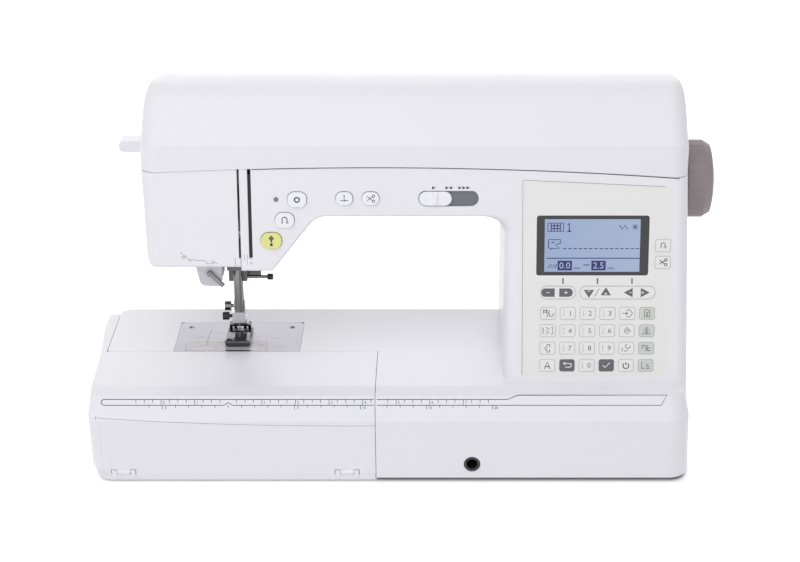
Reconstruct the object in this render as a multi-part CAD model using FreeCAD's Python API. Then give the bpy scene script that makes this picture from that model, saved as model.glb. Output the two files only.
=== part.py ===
import FreeCAD
import Part
import math
import os

V = FreeCAD.Vector
os.makedirs("parts", exist_ok=True)

# Overall size in mm. X runs along the arm to the handwheel, Y to the back, Z up from the table.
width = 484.5
depth = 168.0
height = 294.0
x_left = -width / 2
x_right = width / 2
y_front = -depth / 2

# Walls and clearances
wall = 2.8            # covers
seam = 0.4            # line between two covers that meet
free = 0.5            # space between a moving piece and what it passes
run = 0.05            # radial clearance of a bar or shaft in its guide

# Base and bed
foot_height = 1.4
pan_thickness = 2.0
base_depth = 160.0
bed_top = 76.3
front_lean = 4.5      # the lower front leans in by this much at the bottom
band_foot = 54.0      # height where the ruler band starts
band_head = 73.0      # height where the ruler band ends
band_back = 5.4       # how far the ruler band leans back
crown_back = 62.0     # the bed is flat from here to the back
base_left = -18.0     # line between the base and the slide-off bed
corner_round = 16.0   # upright front corners of the base
bed_corner = 14.0

# Column, arm and head
face_foot = 26.0      # front face of the column, behind the base front, at bed height
face_tilt = 6.7       # degrees that the front face leans back
side_foot = 222.6     # right side at the table
side_head = 216.2     # right side at the lid
column_left = 79.0
arm_under = 204.0
throat_round = 17.0
head_left = -193.0
head_lean = 3.0       # the left side comes in by this much at the bottom
head_under = 162.0
face_under = 165.0
head_right = -95.0
arm_start = -61.5     # where the sloping underside of the head meets the arm
head_round = 10.0     # upright front corners of the head and column
column_round = 12.0   # left corner of the column
edge_round = 2.0
split_back = 124.0    # front and rear covers meet here
body_back = 160.0

# Lid
lid_seam_left = 237.5
lid_seam_mid = 242.3
lid_seam_right = 233.6
lid_front = 44.4
lid_crease = 259.0
lid_crown_front = 88.0
lid_crown_back = 124.0
lid_back_top = 263.0
lid_back_foot = 250.0
lid_back_step = 150.0
lid_wall = 2.6
lid_round_left = 16.0
lid_round_right = 13.0
lid_right = side_head + 0.2
hinge_back = 163.0
hinge_rad = 2.6
hinge_pin_rad = 1.2
hinge_sites = (-100.0, 120.0)
hinge_long = 10.0

# Slide-off bed with its flap
bed_deep = 77.5
bed_end = 10.75       # thickness of the end that wraps round the free arm
bed_end_back = 150.0
flap_left = -230.0
flap_top = 50.0
flap_top_left = 56.5
flap_foot = 6.0
flap_thick = 2.6
flap_pin_rad = 1.3
pivot_rad = 2.6

# Free arm, plate and what is under it
arm_tip = -231.5
arm_floor = 20.0
needle_x = -129.5
needle_back = 107.0
plate_wide = 99.5
plate_deep = 56.0
plate_thick = 2.0
hook_left = 9.0       # hook centre from the needle
hook_fore = 9.0
hook_rad = 16.5
hook_wall = 2.4
hook_top = 71.0
hook_foot = 50.5
case_rad = 11.8
case_wall = 1.1
bobbin_rad = 10.2
bobbin_high = 11.5
low_shaft_back = 123.0
low_shaft_z = 38.0
low_shaft_rad = 4.0
low_gear_rad = 11.0
gear_gap = 0.3
feed_drop = 3.0
feed_wide = 4.0
feed_long = 18.0
feed_apart = 14.0

# Main shaft and drive
shaft_z = 211.0
shaft_back = 107.0
shaft_rad = 4.0
wheel_rad = 30.0
wheel_start = 217.4
crank_rad = 19.0
stroke = 32.0
pulley_rad = 17.0
motor_pulley_rad = 6.0
sprocket_rad = 11.0
motor_rad = 25.0
motor_back = 73.0
motor_z = 122.0

# Needle and presser bars
bar_rad = 3.3
clamp_z = 94.0
needle_rad = 0.45
needle_tip = 56.0
presser_back = 116.0
foot_wide = 20.0
foot_front = 84.0
foot_rear = 118.0
foot_pin_z = 82.0
holder_z = 100.0

# Controls on the front
button_travel = 1.2
button_wall = 0.3
slot_mid = 37.3
slot_z = 218.2
slot_long = 45.5
slot_high = 11.9
knob_long = 24.8
panel_left = 92.6
panel_right = 209.0
panel_foot = 79.5
panel_head = 227.0
panel_head_left = 232.4
film = 0.4
lcd_left = 103.4
lcd_right = 187.7
lcd_foot = 159.1
lcd_head = 205.4
lcd_border = 5.0
knee_x = 55.5
knee_z = 16.0
knee_rad = 6.3
knee_bore = 4.2
knee_long = 22.0

tilt = math.radians(face_tilt)
slope = math.tan(tilt)
pan_top = foot_height + pan_thickness
plate_front = bed_deep
arm_front = bed_deep + seam
side_slope = (side_foot - side_head) / 235.0


def back(distance):
    return y_front + distance


def face_y(z):
    return back(face_foot + (z - bed_top) * slope)


def side_x(z):
    return side_foot - side_slope * z


def box(x0, x1, y0, y1, z0, z1):
    return Part.makeBox(x1 - x0, y1 - y0, z1 - z0, V(x0, y0, z0))


def rod_x(x0, x1, y, z, r):
    return Part.makeCylinder(r, x1 - x0, V(x0, y, z), V(1, 0, 0))


def rod_y(x, y0, y1, z, r):
    return Part.makeCylinder(r, y1 - y0, V(x, y0, z), V(0, 1, 0))


def rod_z(x, y, z0, z1, r):
    return Part.makeCylinder(r, z1 - z0, V(x, y, z0), V(0, 0, 1))


def loop(corners, place):
    """Closed outline from corners (a, b) or (a, b, radius)."""
    pts = [V(c[0], c[1], 0) for c in corners]
    rads = [c[2] if len(c) > 2 else 0.0 for c in corners]
    ends = []
    for i, p in enumerate(pts):
        q = pts[i - 1]
        s = pts[(i + 1) % len(pts)]
        u = (q - p).normalize()
        w = (s - p).normalize()
        r = rads[i]
        if r <= 0:
            ends.append((p, None, p))
            continue
        half = u.getAngle(w) / 2
        t = r / math.tan(half)
        mid = (u + w).normalize()
        ends.append((p + u * t, p + mid * (r / math.sin(half) - r), p + w * t))
    edges = []
    for i, (start, mid, stop) in enumerate(ends):
        if mid is not None:
            a, m, b = place(start.x, start.y), place(mid.x, mid.y), place(stop.x, stop.y)
            edges.append(Part.Arc(a, m, b).toShape())
        nxt = ends[(i + 1) % len(ends)][0]
        if (nxt - stop).Length > 1e-6:
            edges.append(Part.makeLine(place(stop.x, stop.y), place(nxt.x, nxt.y)))
    return Part.Wire(edges)


def at_y(y):
    return lambda a, b: V(a, y, b)


def at_x(x):
    return lambda a, b: V(x, a, b)


def at_z(z):
    return lambda a, b: V(a, b, z)


def prism(wire, way):
    return Part.Face(wire).extrude(way)


def plate_xz(corners, y0, y1):
    return prism(loop(corners, at_y(y0)), V(0, y1 - y0, 0))


def plate_yz(corners, x0, x1):
    return prism(loop(corners, at_x(x0)), V(x1 - x0, 0, 0))


def plate_xy(corners, z0, z1):
    return prism(loop(corners, at_z(z0)), V(0, 0, z1 - z0))


def join(shapes):
    out = shapes[0]
    if len(shapes) > 1:
        out = out.fuse(shapes[1:])
    return out.removeSplitter()


def round_off(shape, choose):
    """Rounds each edge for which choose gives a radius at both of its ends."""
    doc = FreeCAD.newDocument("rounding")
    base = doc.addObject("Part::Feature", "base")
    base.Shape = shape
    made = doc.addObject("Part::Fillet", "made")
    made.Base = base
    picked = []
    for i, e in enumerate(shape.Edges):
        r = choose(e)
        if r is not None:
            picked.append((i + 1, r[0], r[1]))
    made.Edges = picked
    doc.recompute()
    out = made.Shape.copy()
    FreeCAD.closeDocument(doc.Name)
    return out


def middle(e):
    return e.valueAt((e.FirstParameter + e.LastParameter) / 2)


def solid(shape):
    return shape.Solids[0] if len(shape.Solids) == 1 else shape


def behind_face(inset):
    """Everything behind the tilted front face."""
    off = inset / math.cos(tilt)
    low, high = -60.0, 400.0
    return plate_yz([(face_y(low) + off, low), (back(400), low), (back(400), high), (face_y(high) + off, high)],
                    x_left - 60, x_right + 60)


def left_of_side(inset):
    """Everything inside the right side, which flares a little toward the table."""
    low, high = -60.0, 400.0
    return plate_xz([(x_left - 60, low), (side_x(low) - inset, low), (side_x(high) - inset, high),
                     (x_left - 60, high)], back(-60), back(400))


def arch(drop):
    """Everything above the arched line under the lid, lowered by drop."""
    y, past = back(-60), 6.0
    ends = [V(head_left, y, lid_seam_left - drop), V(side_head, y, lid_seam_right - drop)]
    whole = Part.Arc(ends[0], V(15.0, y, lid_seam_mid - drop), ends[1]).toShape().Curve
    left, top, right = (V(x, y, whole.Center.z + math.sqrt(whole.Radius ** 2 - (x - whole.Center.x) ** 2))
                        for x in (head_left - past, 15.0, side_head + past))
    far_l = V(head_left - 80, y, left.z - 3)
    far_r = V(side_head + 80, y, right.z - 3)
    up_r = V(side_head + 80, y, 420)
    up_l = V(head_left - 80, y, 420)
    curve = Part.Arc(left, top, right).toShape()
    wire = Part.Wire([Part.makeLine(far_l, left), curve, Part.makeLine(right, far_r),
                      Part.makeLine(far_r, up_r), Part.makeLine(up_r, up_l), Part.makeLine(up_l, far_l)])
    return prism(wire, V(0, 600, 0))


def upper_outline(x0, under, inset):
    """Front view of head, arm and column. An inset outline leaves thicker walls at the rounded corners."""
    side = inset * 2.0
    col = column_left + inset * 4.2
    lean = head_lean if x0 < head_left + 20 else 0.0
    top = 262.0
    left = x0 + (side if lean else -12.0 if inset else 0.0)
    cut = inset * 0.72
    low = 20.0 + inset
    return [(col, low), (side_x(low) - side, low), (side_x(top) - side, top), (left, top),
            (left + lean, under + inset, 0.0 if inset else 6.0 if lean else 0.0),
            (head_right - cut, under + inset, 0.0 if inset else 5.0),
            (arm_start - cut, arm_under + min(inset, 2.2), throat_round),
            (col, arm_under + min(inset, 2.2), throat_round + (0 if inset == 0 else 0))]


def upper_form(x0, under, y0, y1, inset):
    form = plate_xz(upper_outline(x0, under, inset), y0, y1)
    return form.common(behind_face(inset))


def base_corners(inset):
    top = bed_top - inset
    t = inset
    return [(back(front_lean + t), pan_top if inset == 0 else pan_top - 5), (back(t), band_foot, 1.5),
            (back(band_back + t), band_head - inset * 0.8, 3.0 if inset == 0 else 1.0),
            (back(crown_back), top, 200.0), (back(base_depth - t), top, 0.0 if inset else 3.0),
            (back(base_depth - t), pan_top if inset == 0 else pan_top - 5)]


def on_face(p):
    return abs(p.y - face_y(p.z)) < 0.05


def throat_rounding(e):
    """Soft left corner on the column, running out to a crisp edge under the arm and head."""
    ends = [v.Point for v in e.Vertexes]
    if len(ends) < 2 or not all(on_face(p) for p in ends):
        return None
    m = middle(e)
    if m.z > 250 or m.z < 21 or m.x > side_head - 8:
        return None
    if m.x < head_left + 8:
        return (head_round, head_round)

    def size(p):
        if p.x > column_left - 1 and p.z < arm_under - 2:
            return column_round
        if p.x < head_left + 6:
            return head_round
        return edge_round
    if abs(ends[0].x - ends[1].x) < 0.5 and abs(m.x - (-118.0)) < 6:
        return None
    return (size(ends[0]), size(ends[1]))


def rear_rounding(e, ends):
    """Soft upright corners at the back, a crisp edge round the throat."""
    m = middle(e)
    if m.z > 250 or m.z < 21 or abs(ends[0].x - ends[1].x) < 0.5 and abs(m.x - front_edge) < 6:
        return None
    if m.x > side_head - 8 or m.x < head_left + 8:
        return (head_round, head_round) if abs(ends[0].z - ends[1].z) > 20 else (head_round - 2, edge_round)
    return (edge_round, edge_round)


def side_rounding(e):
    ends = [v.Point for v in e.Vertexes]
    if len(ends) < 2:
        return None
    if all(abs(p.y - back(body_back)) < 0.05 for p in ends):
        return rear_rounding(e, ends)
    return front_rounding(e)


def front_rounding(e):
    ends = [v.Point for v in e.Vertexes]
    if len(ends) < 2 or not all(on_face(p) for p in ends):
        return None
    m = middle(e)
    if m.x > side_head - 8 and m.z > 40:
        return (head_round, head_round)
    return throat_rounding(e)


def stack(sections):
    """Solid through level outlines, each a list of corners and a height."""
    wires = [loop(corners, at_z(z)) for corners, z in sections]
    return Part.makeLoft(wires, True, True)


def bed_levels():
    """Heights of the base with how far its front and its end stand back there."""
    return [(pan_top, front_lean, 0.0, 0.0), (band_foot, 0.0, 0.0, 0.0), (band_head, band_back, 3.0, 1.0),
            (bed_top - 1.0, band_back + 12, 6.0, 2.0), (bed_top, crown_back, 12.0, 6.0)]


def base_form(inset):
    """Right half of the base, its ruler band running round the front corner."""
    if inset:
        form = plate_yz(base_corners(inset), base_left + inset, x_right)
        return form.common(left_of_side(12.0))
    sections = []
    for z, f, s, soft in bed_levels():
        x1 = side_x(z) - s
        sections.append(([(base_left, back(f)), (x1, back(f), corner_round - soft), (x1, back(base_depth), 4.0),
                          (base_left, back(base_depth))], z))
    return stack(sections)


def front_half():
    return box(-300, 300, back(-60), back(split_back), -20, 420)


def rear_half():
    return box(-300, 300, back(split_back), back(260), -20, 420)


def shell(outer, inner):
    return outer.cut(inner)


def oval(x, z, w, h, y0, y1):
    """Rounded push-button outline standing square to the tilted face, centred at x, z."""
    r = min(w, h) * 0.46
    made = plate_xz([(-w / 2, -h / 2, r), (w / 2, -h / 2, r), (w / 2, h / 2, r), (-w / 2, h / 2, r)], y0, y1)
    made.rotate(V(0, 0, 0), V(1, 0, 0), -face_tilt)
    made.translate(V(x, face_y(z), z))
    return made


def on_panel(shape, z):
    """Moves a shape drawn at the origin, facing -Y, onto the tilted front face at height z."""
    shape.rotate(V(0, 0, 0), V(1, 0, 0), -face_tilt)
    shape.translate(V(0, face_y(z), z))
    return shape


buttons = {
    "reinforce_button": (-75.5, 217.7, 14.2, 11.6),
    "reverse_button": (-85.0, 202.0, 14.2, 11.6),
    "start_button": (-95.3, 186.3, 15.4, 12.2),
    "needle_button": (-40.3, 218.6, 12.5, 9.8),
    "cutter_button": (-20.7, 218.6, 12.5, 9.8),
}
lamp_x = -91.2
lamp_z = 217.7
lamp_rad = 1.8
slot_line = -119.2    # the thread runs down between face cover and front cover here
slot_wide = 1.7
guide_slot = -111.0   # second thread slot
guide_wide = 2.7
slot_foot = 172.0
face_edge = slot_line - slot_wide / 2
front_edge = slot_line + slot_wide / 2
deck_left = -70.0
deck_right = 150.0
deck_front = 66.0
deck_rear = 143.0
deck_floor = 225.0
dial_x = -80.0
dial_back = 80.0
dial_z = 229.5
dial_rad = 15.0
dial_thick = 8.0
winder_x = 168.0
winder_back = 92.0
winder_travel = 8.0
winder_rad = 3.0
socket_z = 36.0
socket_high = 40.0
socket_back = 112.0
socket_deep = 62.0
threader_x = -150.0
rail_rad = 2.5
lever_back = 133.0
lever_z = 230.0
lever_high = 9.0
lever_deep = 14.0
lever_neck = 5.0
lever_travel = 28.0
presser_lever_x = -117.0
presser_lever_wide = 8.0
presser_pivot_back = 140.0
presser_pivot_z = 186.0
feed_lever_x = -62.0
feed_lever_z = 44.0
feed_travel = 12.0
grip_left = -40.0
grip_right = 60.0
grip_low = 210.0
grip_high = 230.0
grip_deep = 14.0


def lid_foot_cut():
    """Space of the lid over the covers: above the arch, and above a step at the back."""
    step = box(-300, 300, back(lid_back_step), back(300), 200, lid_back_foot - seam)
    return arch(seam).cut(step)


def cover_form(x0, under, inset, choose=front_rounding):
    """Outer or inner form of the casing from x0 to the right side."""
    upper = upper_form(x0, under, back(-20), back(body_back - inset), inset)
    if inset == 0:
        upper = round_off(upper, choose)
    lower = base_form(inset)
    form = join([upper, lower])
    if inset:
        return form.cut(arch(seam + inset))
    return form.cut(lid_foot_cut())


def front_cover():
    body = cover_form(front_edge, head_under, 0.0).cut(cover_form(front_edge, head_under, wall))
    body = body.common(front_half())
    # way down out of the head for the bars, and the way into the free arm
    body = body.cut(box(-126, -100, back(70), back(split_back + 5), head_under - 5, head_under + 6))
    body = body.cut(box(base_left - 5, base_left + 6, back(arm_front + wall + 2), back(split_back + 5),
                        arm_floor + wall + 4, bed_top - wall - 2))
    # second thread slot
    body = body.cut(box(guide_slot - guide_wide / 2, guide_slot + guide_wide / 2, back(20), back(62),
                        slot_foot, 260))
    for x, z, w, h in buttons.values():
        body = body.cut(oval(x, z, w + 2 * button_wall, h + 2 * button_wall, -10, wall + 14))
    lamp = on_panel(Part.makeCylinder(lamp_rad, 20, V(lamp_x, -10, 0), V(0, 1, 0)), lamp_z)
    body = body.cut(lamp)
    body = body.cut(on_panel(slot_block(0.0, -10, 20), slot_z))
    body = body.cut(on_panel(screen_block(0.0, -10, 20), (lcd_foot + lcd_head) / 2))
    # seat of the panel film
    body = body.cut(on_panel(film_block(0.0, -5, film), panel_foot))
    body = body.cut(rod_y(knee_x, back(-5), back(12), knee_z, knee_rad))
    # opening for the deck under the lid, the dial and the winder
    body = body.cut(box(deck_left, deck_right, back(deck_front), back(split_back + 5), deck_floor - 2, 260))
    body = body.cut(box(dial_x - dial_thick / 2 - free, dial_x + dial_thick / 2 + free,
                        back(dial_back - dial_rad - free), back(dial_back + dial_rad + free), 228, 262))
    body = body.cut(box(winder_x - winder_rad - free, winder_x + winder_travel + winder_rad + free,
                        back(winder_back - winder_rad - free), back(winder_back + winder_rad + free), 222, 262))
    body = body.cut(rod_x(200, 240, back(shaft_back), shaft_z, shaft_rad + free))
    body = body.cut(socket_pocket())
    return body


def rear_cover():
    body = cover_form(head_left, face_under, 0.0, side_rounding).cut(cover_form(head_left, face_under, wall))
    body = body.common(rear_half())
    body = body.cut(box(base_left - 5, base_left + 6, back(split_back - 5), back(base_depth - wall - 4),
                        arm_floor + wall + 4, bed_top - wall - 2))
    body = body.cut(box(deck_left, deck_right, back(split_back - 5), back(deck_rear), deck_floor - 2, 246))
    # ways through the floor of the head for the bracket of the bars and the threader's rail
    body = body.cut(box(bar_left - 1.0, bar_right + 11.0, back(split_back - 2), back(beam_front + 1),
                        face_under - 5, face_under + 6))
    body = body.cut(rod_z(threader_x, back(lever_back), face_under - 5, face_under + 6, rail_rad + free))
    # slot for the threader lever
    body = body.cut(box(head_left - 10, head_left + 12, back(lever_back - lever_neck / 2 - free),
                        back(lever_back + lever_neck / 2 + free), lever_z - lever_travel - lever_neck / 2 - free,
                        lever_z + lever_neck / 2 + free))
    # the presser lever swings out through the underside and the back
    half = presser_lever_wide / 2 + 1.0
    body = body.cut(box(presser_lever_x - half, presser_lever_x + half, back(split_back - 2), back(200), 140, 206))
    # finger grip for carrying, with walls of its own
    body = body.fuse(box(grip_left - wall, grip_right + wall, back(body_back - grip_deep - wall), back(body_back - 1),
                         grip_low - wall, grip_high + wall))
    body = body.cut(box(grip_left, grip_right, back(body_back - grip_deep), back(body_back + 5), grip_low, grip_high))
    body = body.cut(socket_pocket())
    # cooling slots low on the back of the column
    for i in range(7):
        x = 110 + i * 13
        body = body.cut(plate_xz([(x, 95, 1.9), (x + 4, 95, 1.9), (x + 4, 135, 1.9), (x, 135, 1.9)],
                                 back(body_back - 6), back(body_back + 5)))
    for x in hinge_sites:
        for s in (-1, 1):
            body = body.fuse(hinge_knuckle(x + s * hinge_long, False))
        body = body.fuse(rod_x(x - 1.4 * hinge_long, x + 1.4 * hinge_long, back(hinge_back), lid_back_foot,
                               hinge_pin_rad))
    return body.removeSplitter()


def face_cover():
    outer = upper_form(head_left, face_under, back(-20), back(body_back), 0.0)
    outer = round_off(outer, throat_rounding)
    inner = upper_form(head_left, face_under, back(-20), back(body_back), wall).cut(arch(seam + wall))
    body = outer.cut(arch(seam)).cut(inner)
    body = body.common(box(-300, face_edge, back(-60), back(split_back), 0, 400))
    body = body.cut(box(-172, face_edge + 2, back(70), back(split_back + 5), face_under - 5, face_under + 6))
    # the slot narrows to a plain line below the turn of the thread
    tongue = box(face_edge - 1, front_edge - seam, back(0), back(90), face_under, slot_foot)
    return body.fuse(tongue.common(outer).cut(inner)).removeSplitter()


def hinge_knuckle(x, on_lid):
    """One barrel of the lid hinge with the leg that carries it."""
    x0 = x - hinge_long / 2 + (free / 2 if on_lid else 0)
    x1 = x + hinge_long / 2 - (free / 2 if on_lid else 0)
    y = back(hinge_back)
    barrel = rod_x(x0, x1, y, lid_back_foot, hinge_rad)
    if on_lid:
        leg = box(x0, x1, back(body_back - 1), y, lid_back_foot + 0.2, lid_back_foot + hinge_rad)
    else:
        leg = box(x0, x1, back(body_back - 1), y, lid_back_foot - hinge_rad, lid_back_foot - seam - 0.2)
    made = barrel.fuse(leg)
    if on_lid:
        made = made.cut(rod_x(x0 - 1, x1 + 1, y, lid_back_foot, hinge_pin_rad + run))
    reach = box(x0 - 1, x1 + 1, back(body_back - 2), y - hinge_rad * 0.2,
                lid_back_foot - hinge_rad - 1, lid_back_foot) if on_lid else box(
        x0 - 1, x1 + 1, back(body_back - 2), y - hinge_rad * 0.2, lid_back_foot - seam - 0.2,
        lid_back_foot + hinge_rad + 1)
    return made.cut(reach.cut(rod_x(x0 - 1, x1 + 1, y, lid_back_foot, hinge_rad)))


def lid_profile(inset):
    foot = 200.0
    return [(back(lid_front + inset), foot), (back(lid_front + inset), lid_crease - inset * 0.3),
            (back(lid_crown_front + inset * 0.2), height - inset, 42.0 - inset),
            (back(lid_crown_back - inset * 0.2), height - inset, 46.0 - inset),
            (back(body_back - inset), lid_back_top - inset, 24.0 - inset), (back(body_back - inset), foot)]


def lid_form(inset):
    form = plate_yz(lid_profile(inset), head_left + inset * 3.0, lid_right - inset * 3.0)
    if inset:
        return form
    return round_off(form, lid_rounding)


def lid_rounding(e):
    """The lid's two ends are rounded over all round."""
    m = middle(e)
    if len(e.Vertexes) < 2 or abs(m.z - 200.0) < 0.05:
        return None
    if abs(m.x - head_left) < 0.05:
        return (lid_round_left, lid_round_left)
    if abs(m.x - lid_right) < 0.05:
        return (lid_round_right, lid_round_right)
    return None


def lid():
    body = lid_form(0.0).cut(lid_form(lid_wall))
    keep = arch(0.0).cut(box(-300, 300, back(lid_back_step - seam), back(300), 200, lid_back_foot))
    body = body.common(keep)
    for x in hinge_sites:
        body = body.fuse(hinge_knuckle(x, True))
    return body.removeSplitter()


def deck():
    """Sunk tray under the lid for the spool."""
    body = box(deck_left, deck_right, back(deck_front), back(deck_rear), deck_floor, 262).cut(arch(seam))
    body = body.cut(box(deck_left + wall, deck_right - wall, back(deck_front) + wall, back(deck_rear) - wall,
                        deck_floor + wall, 262))
    return body


def base_pan():
    """Bottom plate under the base with stiff ribs."""
    x0, x1 = base_left + 1.0, side_x(0) - 1.5
    y0, y1 = back(front_lean + 1.0), back(base_depth - 1.0)
    r = corner_round - 2
    body = plate_xy([(x0, y0), (x1, y0, r), (x1, y1, 3.0), (x0, y1)], foot_height, pan_top)
    for x in (20.0, 80.0, 185.0):
        body = body.fuse(box(x, x + 2.5, back(20), back(100), pan_top, pan_top + 6))
    return body.removeSplitter()


def foot_spots():
    return [(2, 18), (196, 20), (2, 144), (196, 144)]


def rubber_feet():
    feet = []
    for x, d in foot_spots():
        pad = Part.makeCone(8.0, 9.0, foot_height, V(x, back(d), 0))
        feet.append(pad)
    return Part.makeCompound(feet)


def socket_pocket():
    """Pocket in the right side for the switch and the sockets."""
    x0 = side_x(socket_z) - 9.0
    return box(x0, x_right + 5, back(socket_back - socket_deep / 2), back(socket_back + socket_deep / 2),
               socket_z - socket_high / 2, socket_z + socket_high / 2)


def knee_socket():
    y0 = back(front_lean * (1 - (knee_z - pan_top) / (band_foot - pan_top)) - 0.4)
    body = rod_y(knee_x, y0, y0 + knee_long + 3, knee_z, knee_rad)
    body = body.fuse(rod_y(knee_x, back(front_lean + wall), back(front_lean + wall + 3), knee_z, knee_rad + 3))
    return body.cut(rod_y(knee_x, y0 - 1, y0 + knee_long, knee_z, knee_bore))


def bed_form():
    """Slide-off bed: a deep front block and an end that wraps round the free arm."""
    sections = []
    levels = [(foot_height, front_lean + 0.5, 4.0, 0.0)] + [(12.0, front_lean * 0.8, 0.5, 0.0)] + bed_levels()[1:]
    for z, f, s, soft in levels:
        s = min(s, 4.0)
        left = x_left + s * 0.5
        sections.append(([(base_left - seam, back(f)), (x_left + 4.5 + s, back(f), bed_corner - soft),
                          (x_left + 3 + s * 0.7, back(bed_deep)), (left, back(122)), (left, back(bed_end_back), 4.0),
                          (x_left + bed_end - seam, back(bed_end_back), 1.0), (x_left + bed_end - seam, back(bed_deep)),
                          (base_left - seam, back(bed_deep))], z))
    return stack(sections)


def flap_line(off):
    """Area of the front covered by the flap, seen from the front, grown by off."""
    a = V(base_left - seam + 5, 0, flap_top + off)
    m = V((flap_left + base_left) / 2, 0, flap_top + 1.2 + off)
    b = V(flap_left - off, 0, flap_top_left + off)
    low_l = V(flap_left - off, 0, flap_foot - off * 2)
    low_r = V(base_left - seam + 5, 0, flap_foot - off * 2)
    wire = Part.Wire([Part.Arc(a, m, b).toShape(), Part.makeLine(b, low_l), Part.makeLine(low_l, low_r),
                      Part.makeLine(low_r, a)])
    wire.translate(V(0, back(-20), 0))
    return prism(wire, V(0, 50, 0))


tray_left = x_left + 24
tray_right = base_left - seam - wall - 3
tray_foot = foot_height + 3.0
flap_sites = (flap_left + 18, base_left - seam - 22)
flap_knuckle = 2.2
flap_half = 5.0
flap_swing = 3.5      # reach of the flap's lower edge round its pins


def flap_axis():
    return back(front_lean + 0.9), flap_foot + flap_knuckle


def flap_lugs(grow):
    """Lugs on the bed that hold the flap's pins."""
    y, z = flap_axis()
    lugs = []
    for x in flap_sites:
        for s in (-1, 1):
            mid = x + s * (flap_half + free + 1.75)
            lugs.append(box(mid - 1.75 - grow, mid + 1.75 + grow, y - 1.6 - grow, back(front_lean + wall + 2),
                            flap_foot - 2 - grow, z + 2.2 + grow))
    return lugs


def bed_attachment():
    body = bed_form()
    body = body.cut(box(tray_left, tray_right, back(12), back(bed_deep - wall), tray_foot, bed_top - 5))
    # the front is open behind the flap
    body = body.cut(flap_line(seam).common(box(x_left, base_left + 5, back(-10), back(5 + wall), 0, 70)))
    body = body.cut(box(tray_left, tray_right, back(2), back(20), flap_foot + 6, flap_top - 4))
    y, z = flap_axis()
    # the lower edge of the flap swings back into this groove
    body = body.cut(box(flap_left - seam, base_left + 5, back(-10), y + flap_swing, z - flap_swing, z + flap_swing))
    for x in flap_sites:
        body = body.cut(rod_x(x - flap_half - free, x + flap_half + free, y, z, flap_knuckle + free))
    body = body.fuse(flap_lugs(0.0))
    for x in flap_sites:
        body = body.fuse(rod_x(x - flap_half - 3, x + flap_half + 3, y, z, flap_pin_rad))
    for x, d in ((x_left + 30, 40), (base_left - 30, 40)):
        body = body.fuse(Part.makeCone(6, 7, foot_height, V(x, back(d), 0)))
    return body.removeSplitter()


def tray_flap():
    skin = flap_line(0.0).common(bed_form())
    skin = skin.common(box(x_left, base_left - seam, back(-10), back(front_lean + flap_thick + 0.5), 0, 80))
    inner = skin.copy()
    inner.translate(V(0, flap_thick, 0))
    body = skin.cut(inner)
    body = body.cut(flap_lugs(free))
    y, z = flap_axis()
    for x in flap_sites:
        body = body.fuse(rod_x(x - flap_half, x + flap_half, y, z, flap_knuckle))
        body = body.cut(rod_x(x - flap_half - 1, x + flap_half + 1, y, z, flap_pin_rad + run))
    return body.removeSplitter()


def free_arm():
    x0, x1 = arm_tip, base_left
    y0, y1 = back(arm_front), back(base_depth)
    body = plate_xy([(x0, y0, 3.0), (x1, y0), (x1, y1), (x0, y1, 9.0)], arm_floor, bed_top)
    body = body.cut(plate_xy([(x0 + wall, y0 + wall), (x1 + 5, y0 + wall), (x1 + 5, y1 - wall),
                              (x0 + wall, y1 - wall, 6.0)], arm_floor + wall, bed_top - wall))
    # seat for the needle plate, and the well under it
    px0, px1 = needle_x - plate_wide / 2, needle_x + plate_wide / 2
    py1 = back(plate_front + plate_deep)
    body = body.cut(box(px0 - 0.2, px1 + 0.2, y0 - 1, py1 + 0.2, bed_top - plate_thick, bed_top + 1))
    body = body.cut(box(px0 + 4, px1 - 4, y0 + wall, py1 - 4, bed_top - wall - 1, bed_top))
    body = body.cut(box(feed_lever_x - 5 - free, feed_lever_x + 5 + feed_travel + free, y1 - wall - 1, y1 + 1,
                        feed_lever_z - 2 - free, feed_lever_z + 2 + free))
    return body


def bobbin_lid_plan(off):
    return [(needle_x - 41 - off, back(80.5) - off, 3.0), (needle_x + 23 + off, back(80.5) - off, 3.0),
            (needle_x + 23 + off, back(95.0) + off, 2.0), (needle_x - 41 - off, back(95.0) + off, 6.0)]


def needle_plate():
    px0, px1 = needle_x - plate_wide / 2, needle_x + plate_wide / 2
    y0, y1 = back(plate_front) + seam, back(plate_front + plate_deep)
    z0 = bed_top - plate_thick
    body = plate_xy([(px0, y0, 1.0), (px1, y0, 1.0), (px1, y1, 5.0), (px0, y1, 5.0)], z0, bed_top)
    body = body.cut(plate_xy(bobbin_lid_plan(seam / 2), z0 + 0.8, bed_top + 1))
    body = body.cut(plate_xy(bobbin_lid_plan(-2.0), z0 - 1, bed_top))
    ny = back(needle_back)
    body = body.cut(plate_xy([(needle_x - 4.5, ny - 1.2, 1.1), (needle_x + 4.5, ny - 1.2, 1.1),
                              (needle_x + 4.5, ny + 1.2, 1.1), (needle_x - 4.5, ny + 1.2, 1.1)], z0 - 1, bed_top + 1))
    for s in (-1, 1):
        x = needle_x + s * feed_apart / 2
        body = body.cut(box(x - feed_wide / 2 - free, x + feed_wide / 2 + free, ny - 8 - free,
                            ny - 8 + feed_long + free, z0 - 1, bed_top + 1))
    for x in (px0 + 9, px1 - 9):
        body = body.cut(Part.makeCone(1.2, 2.4, 1.2, V(x, y1 - 10, bed_top - 1.1)))
    return body


def bobbin_cover():
    z0 = bed_top - plate_thick
    body = plate_xy(bobbin_lid_plan(0.0), z0 + 0.8, bed_top)
    x = needle_x + 16
    for i in range(4):
        body = body.cut(box(x + i * 1.4, x + i * 1.4 + 0.6, back(85), back(91), bed_top - 0.4, bed_top + 1))
    return body


def panel_points(off):
    return [(panel_left + 1.0 - off, 0), (panel_right - off, 0), (panel_right - off, panel_head - panel_foot),
            (panel_left - off, panel_head_left - panel_foot)]


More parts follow.
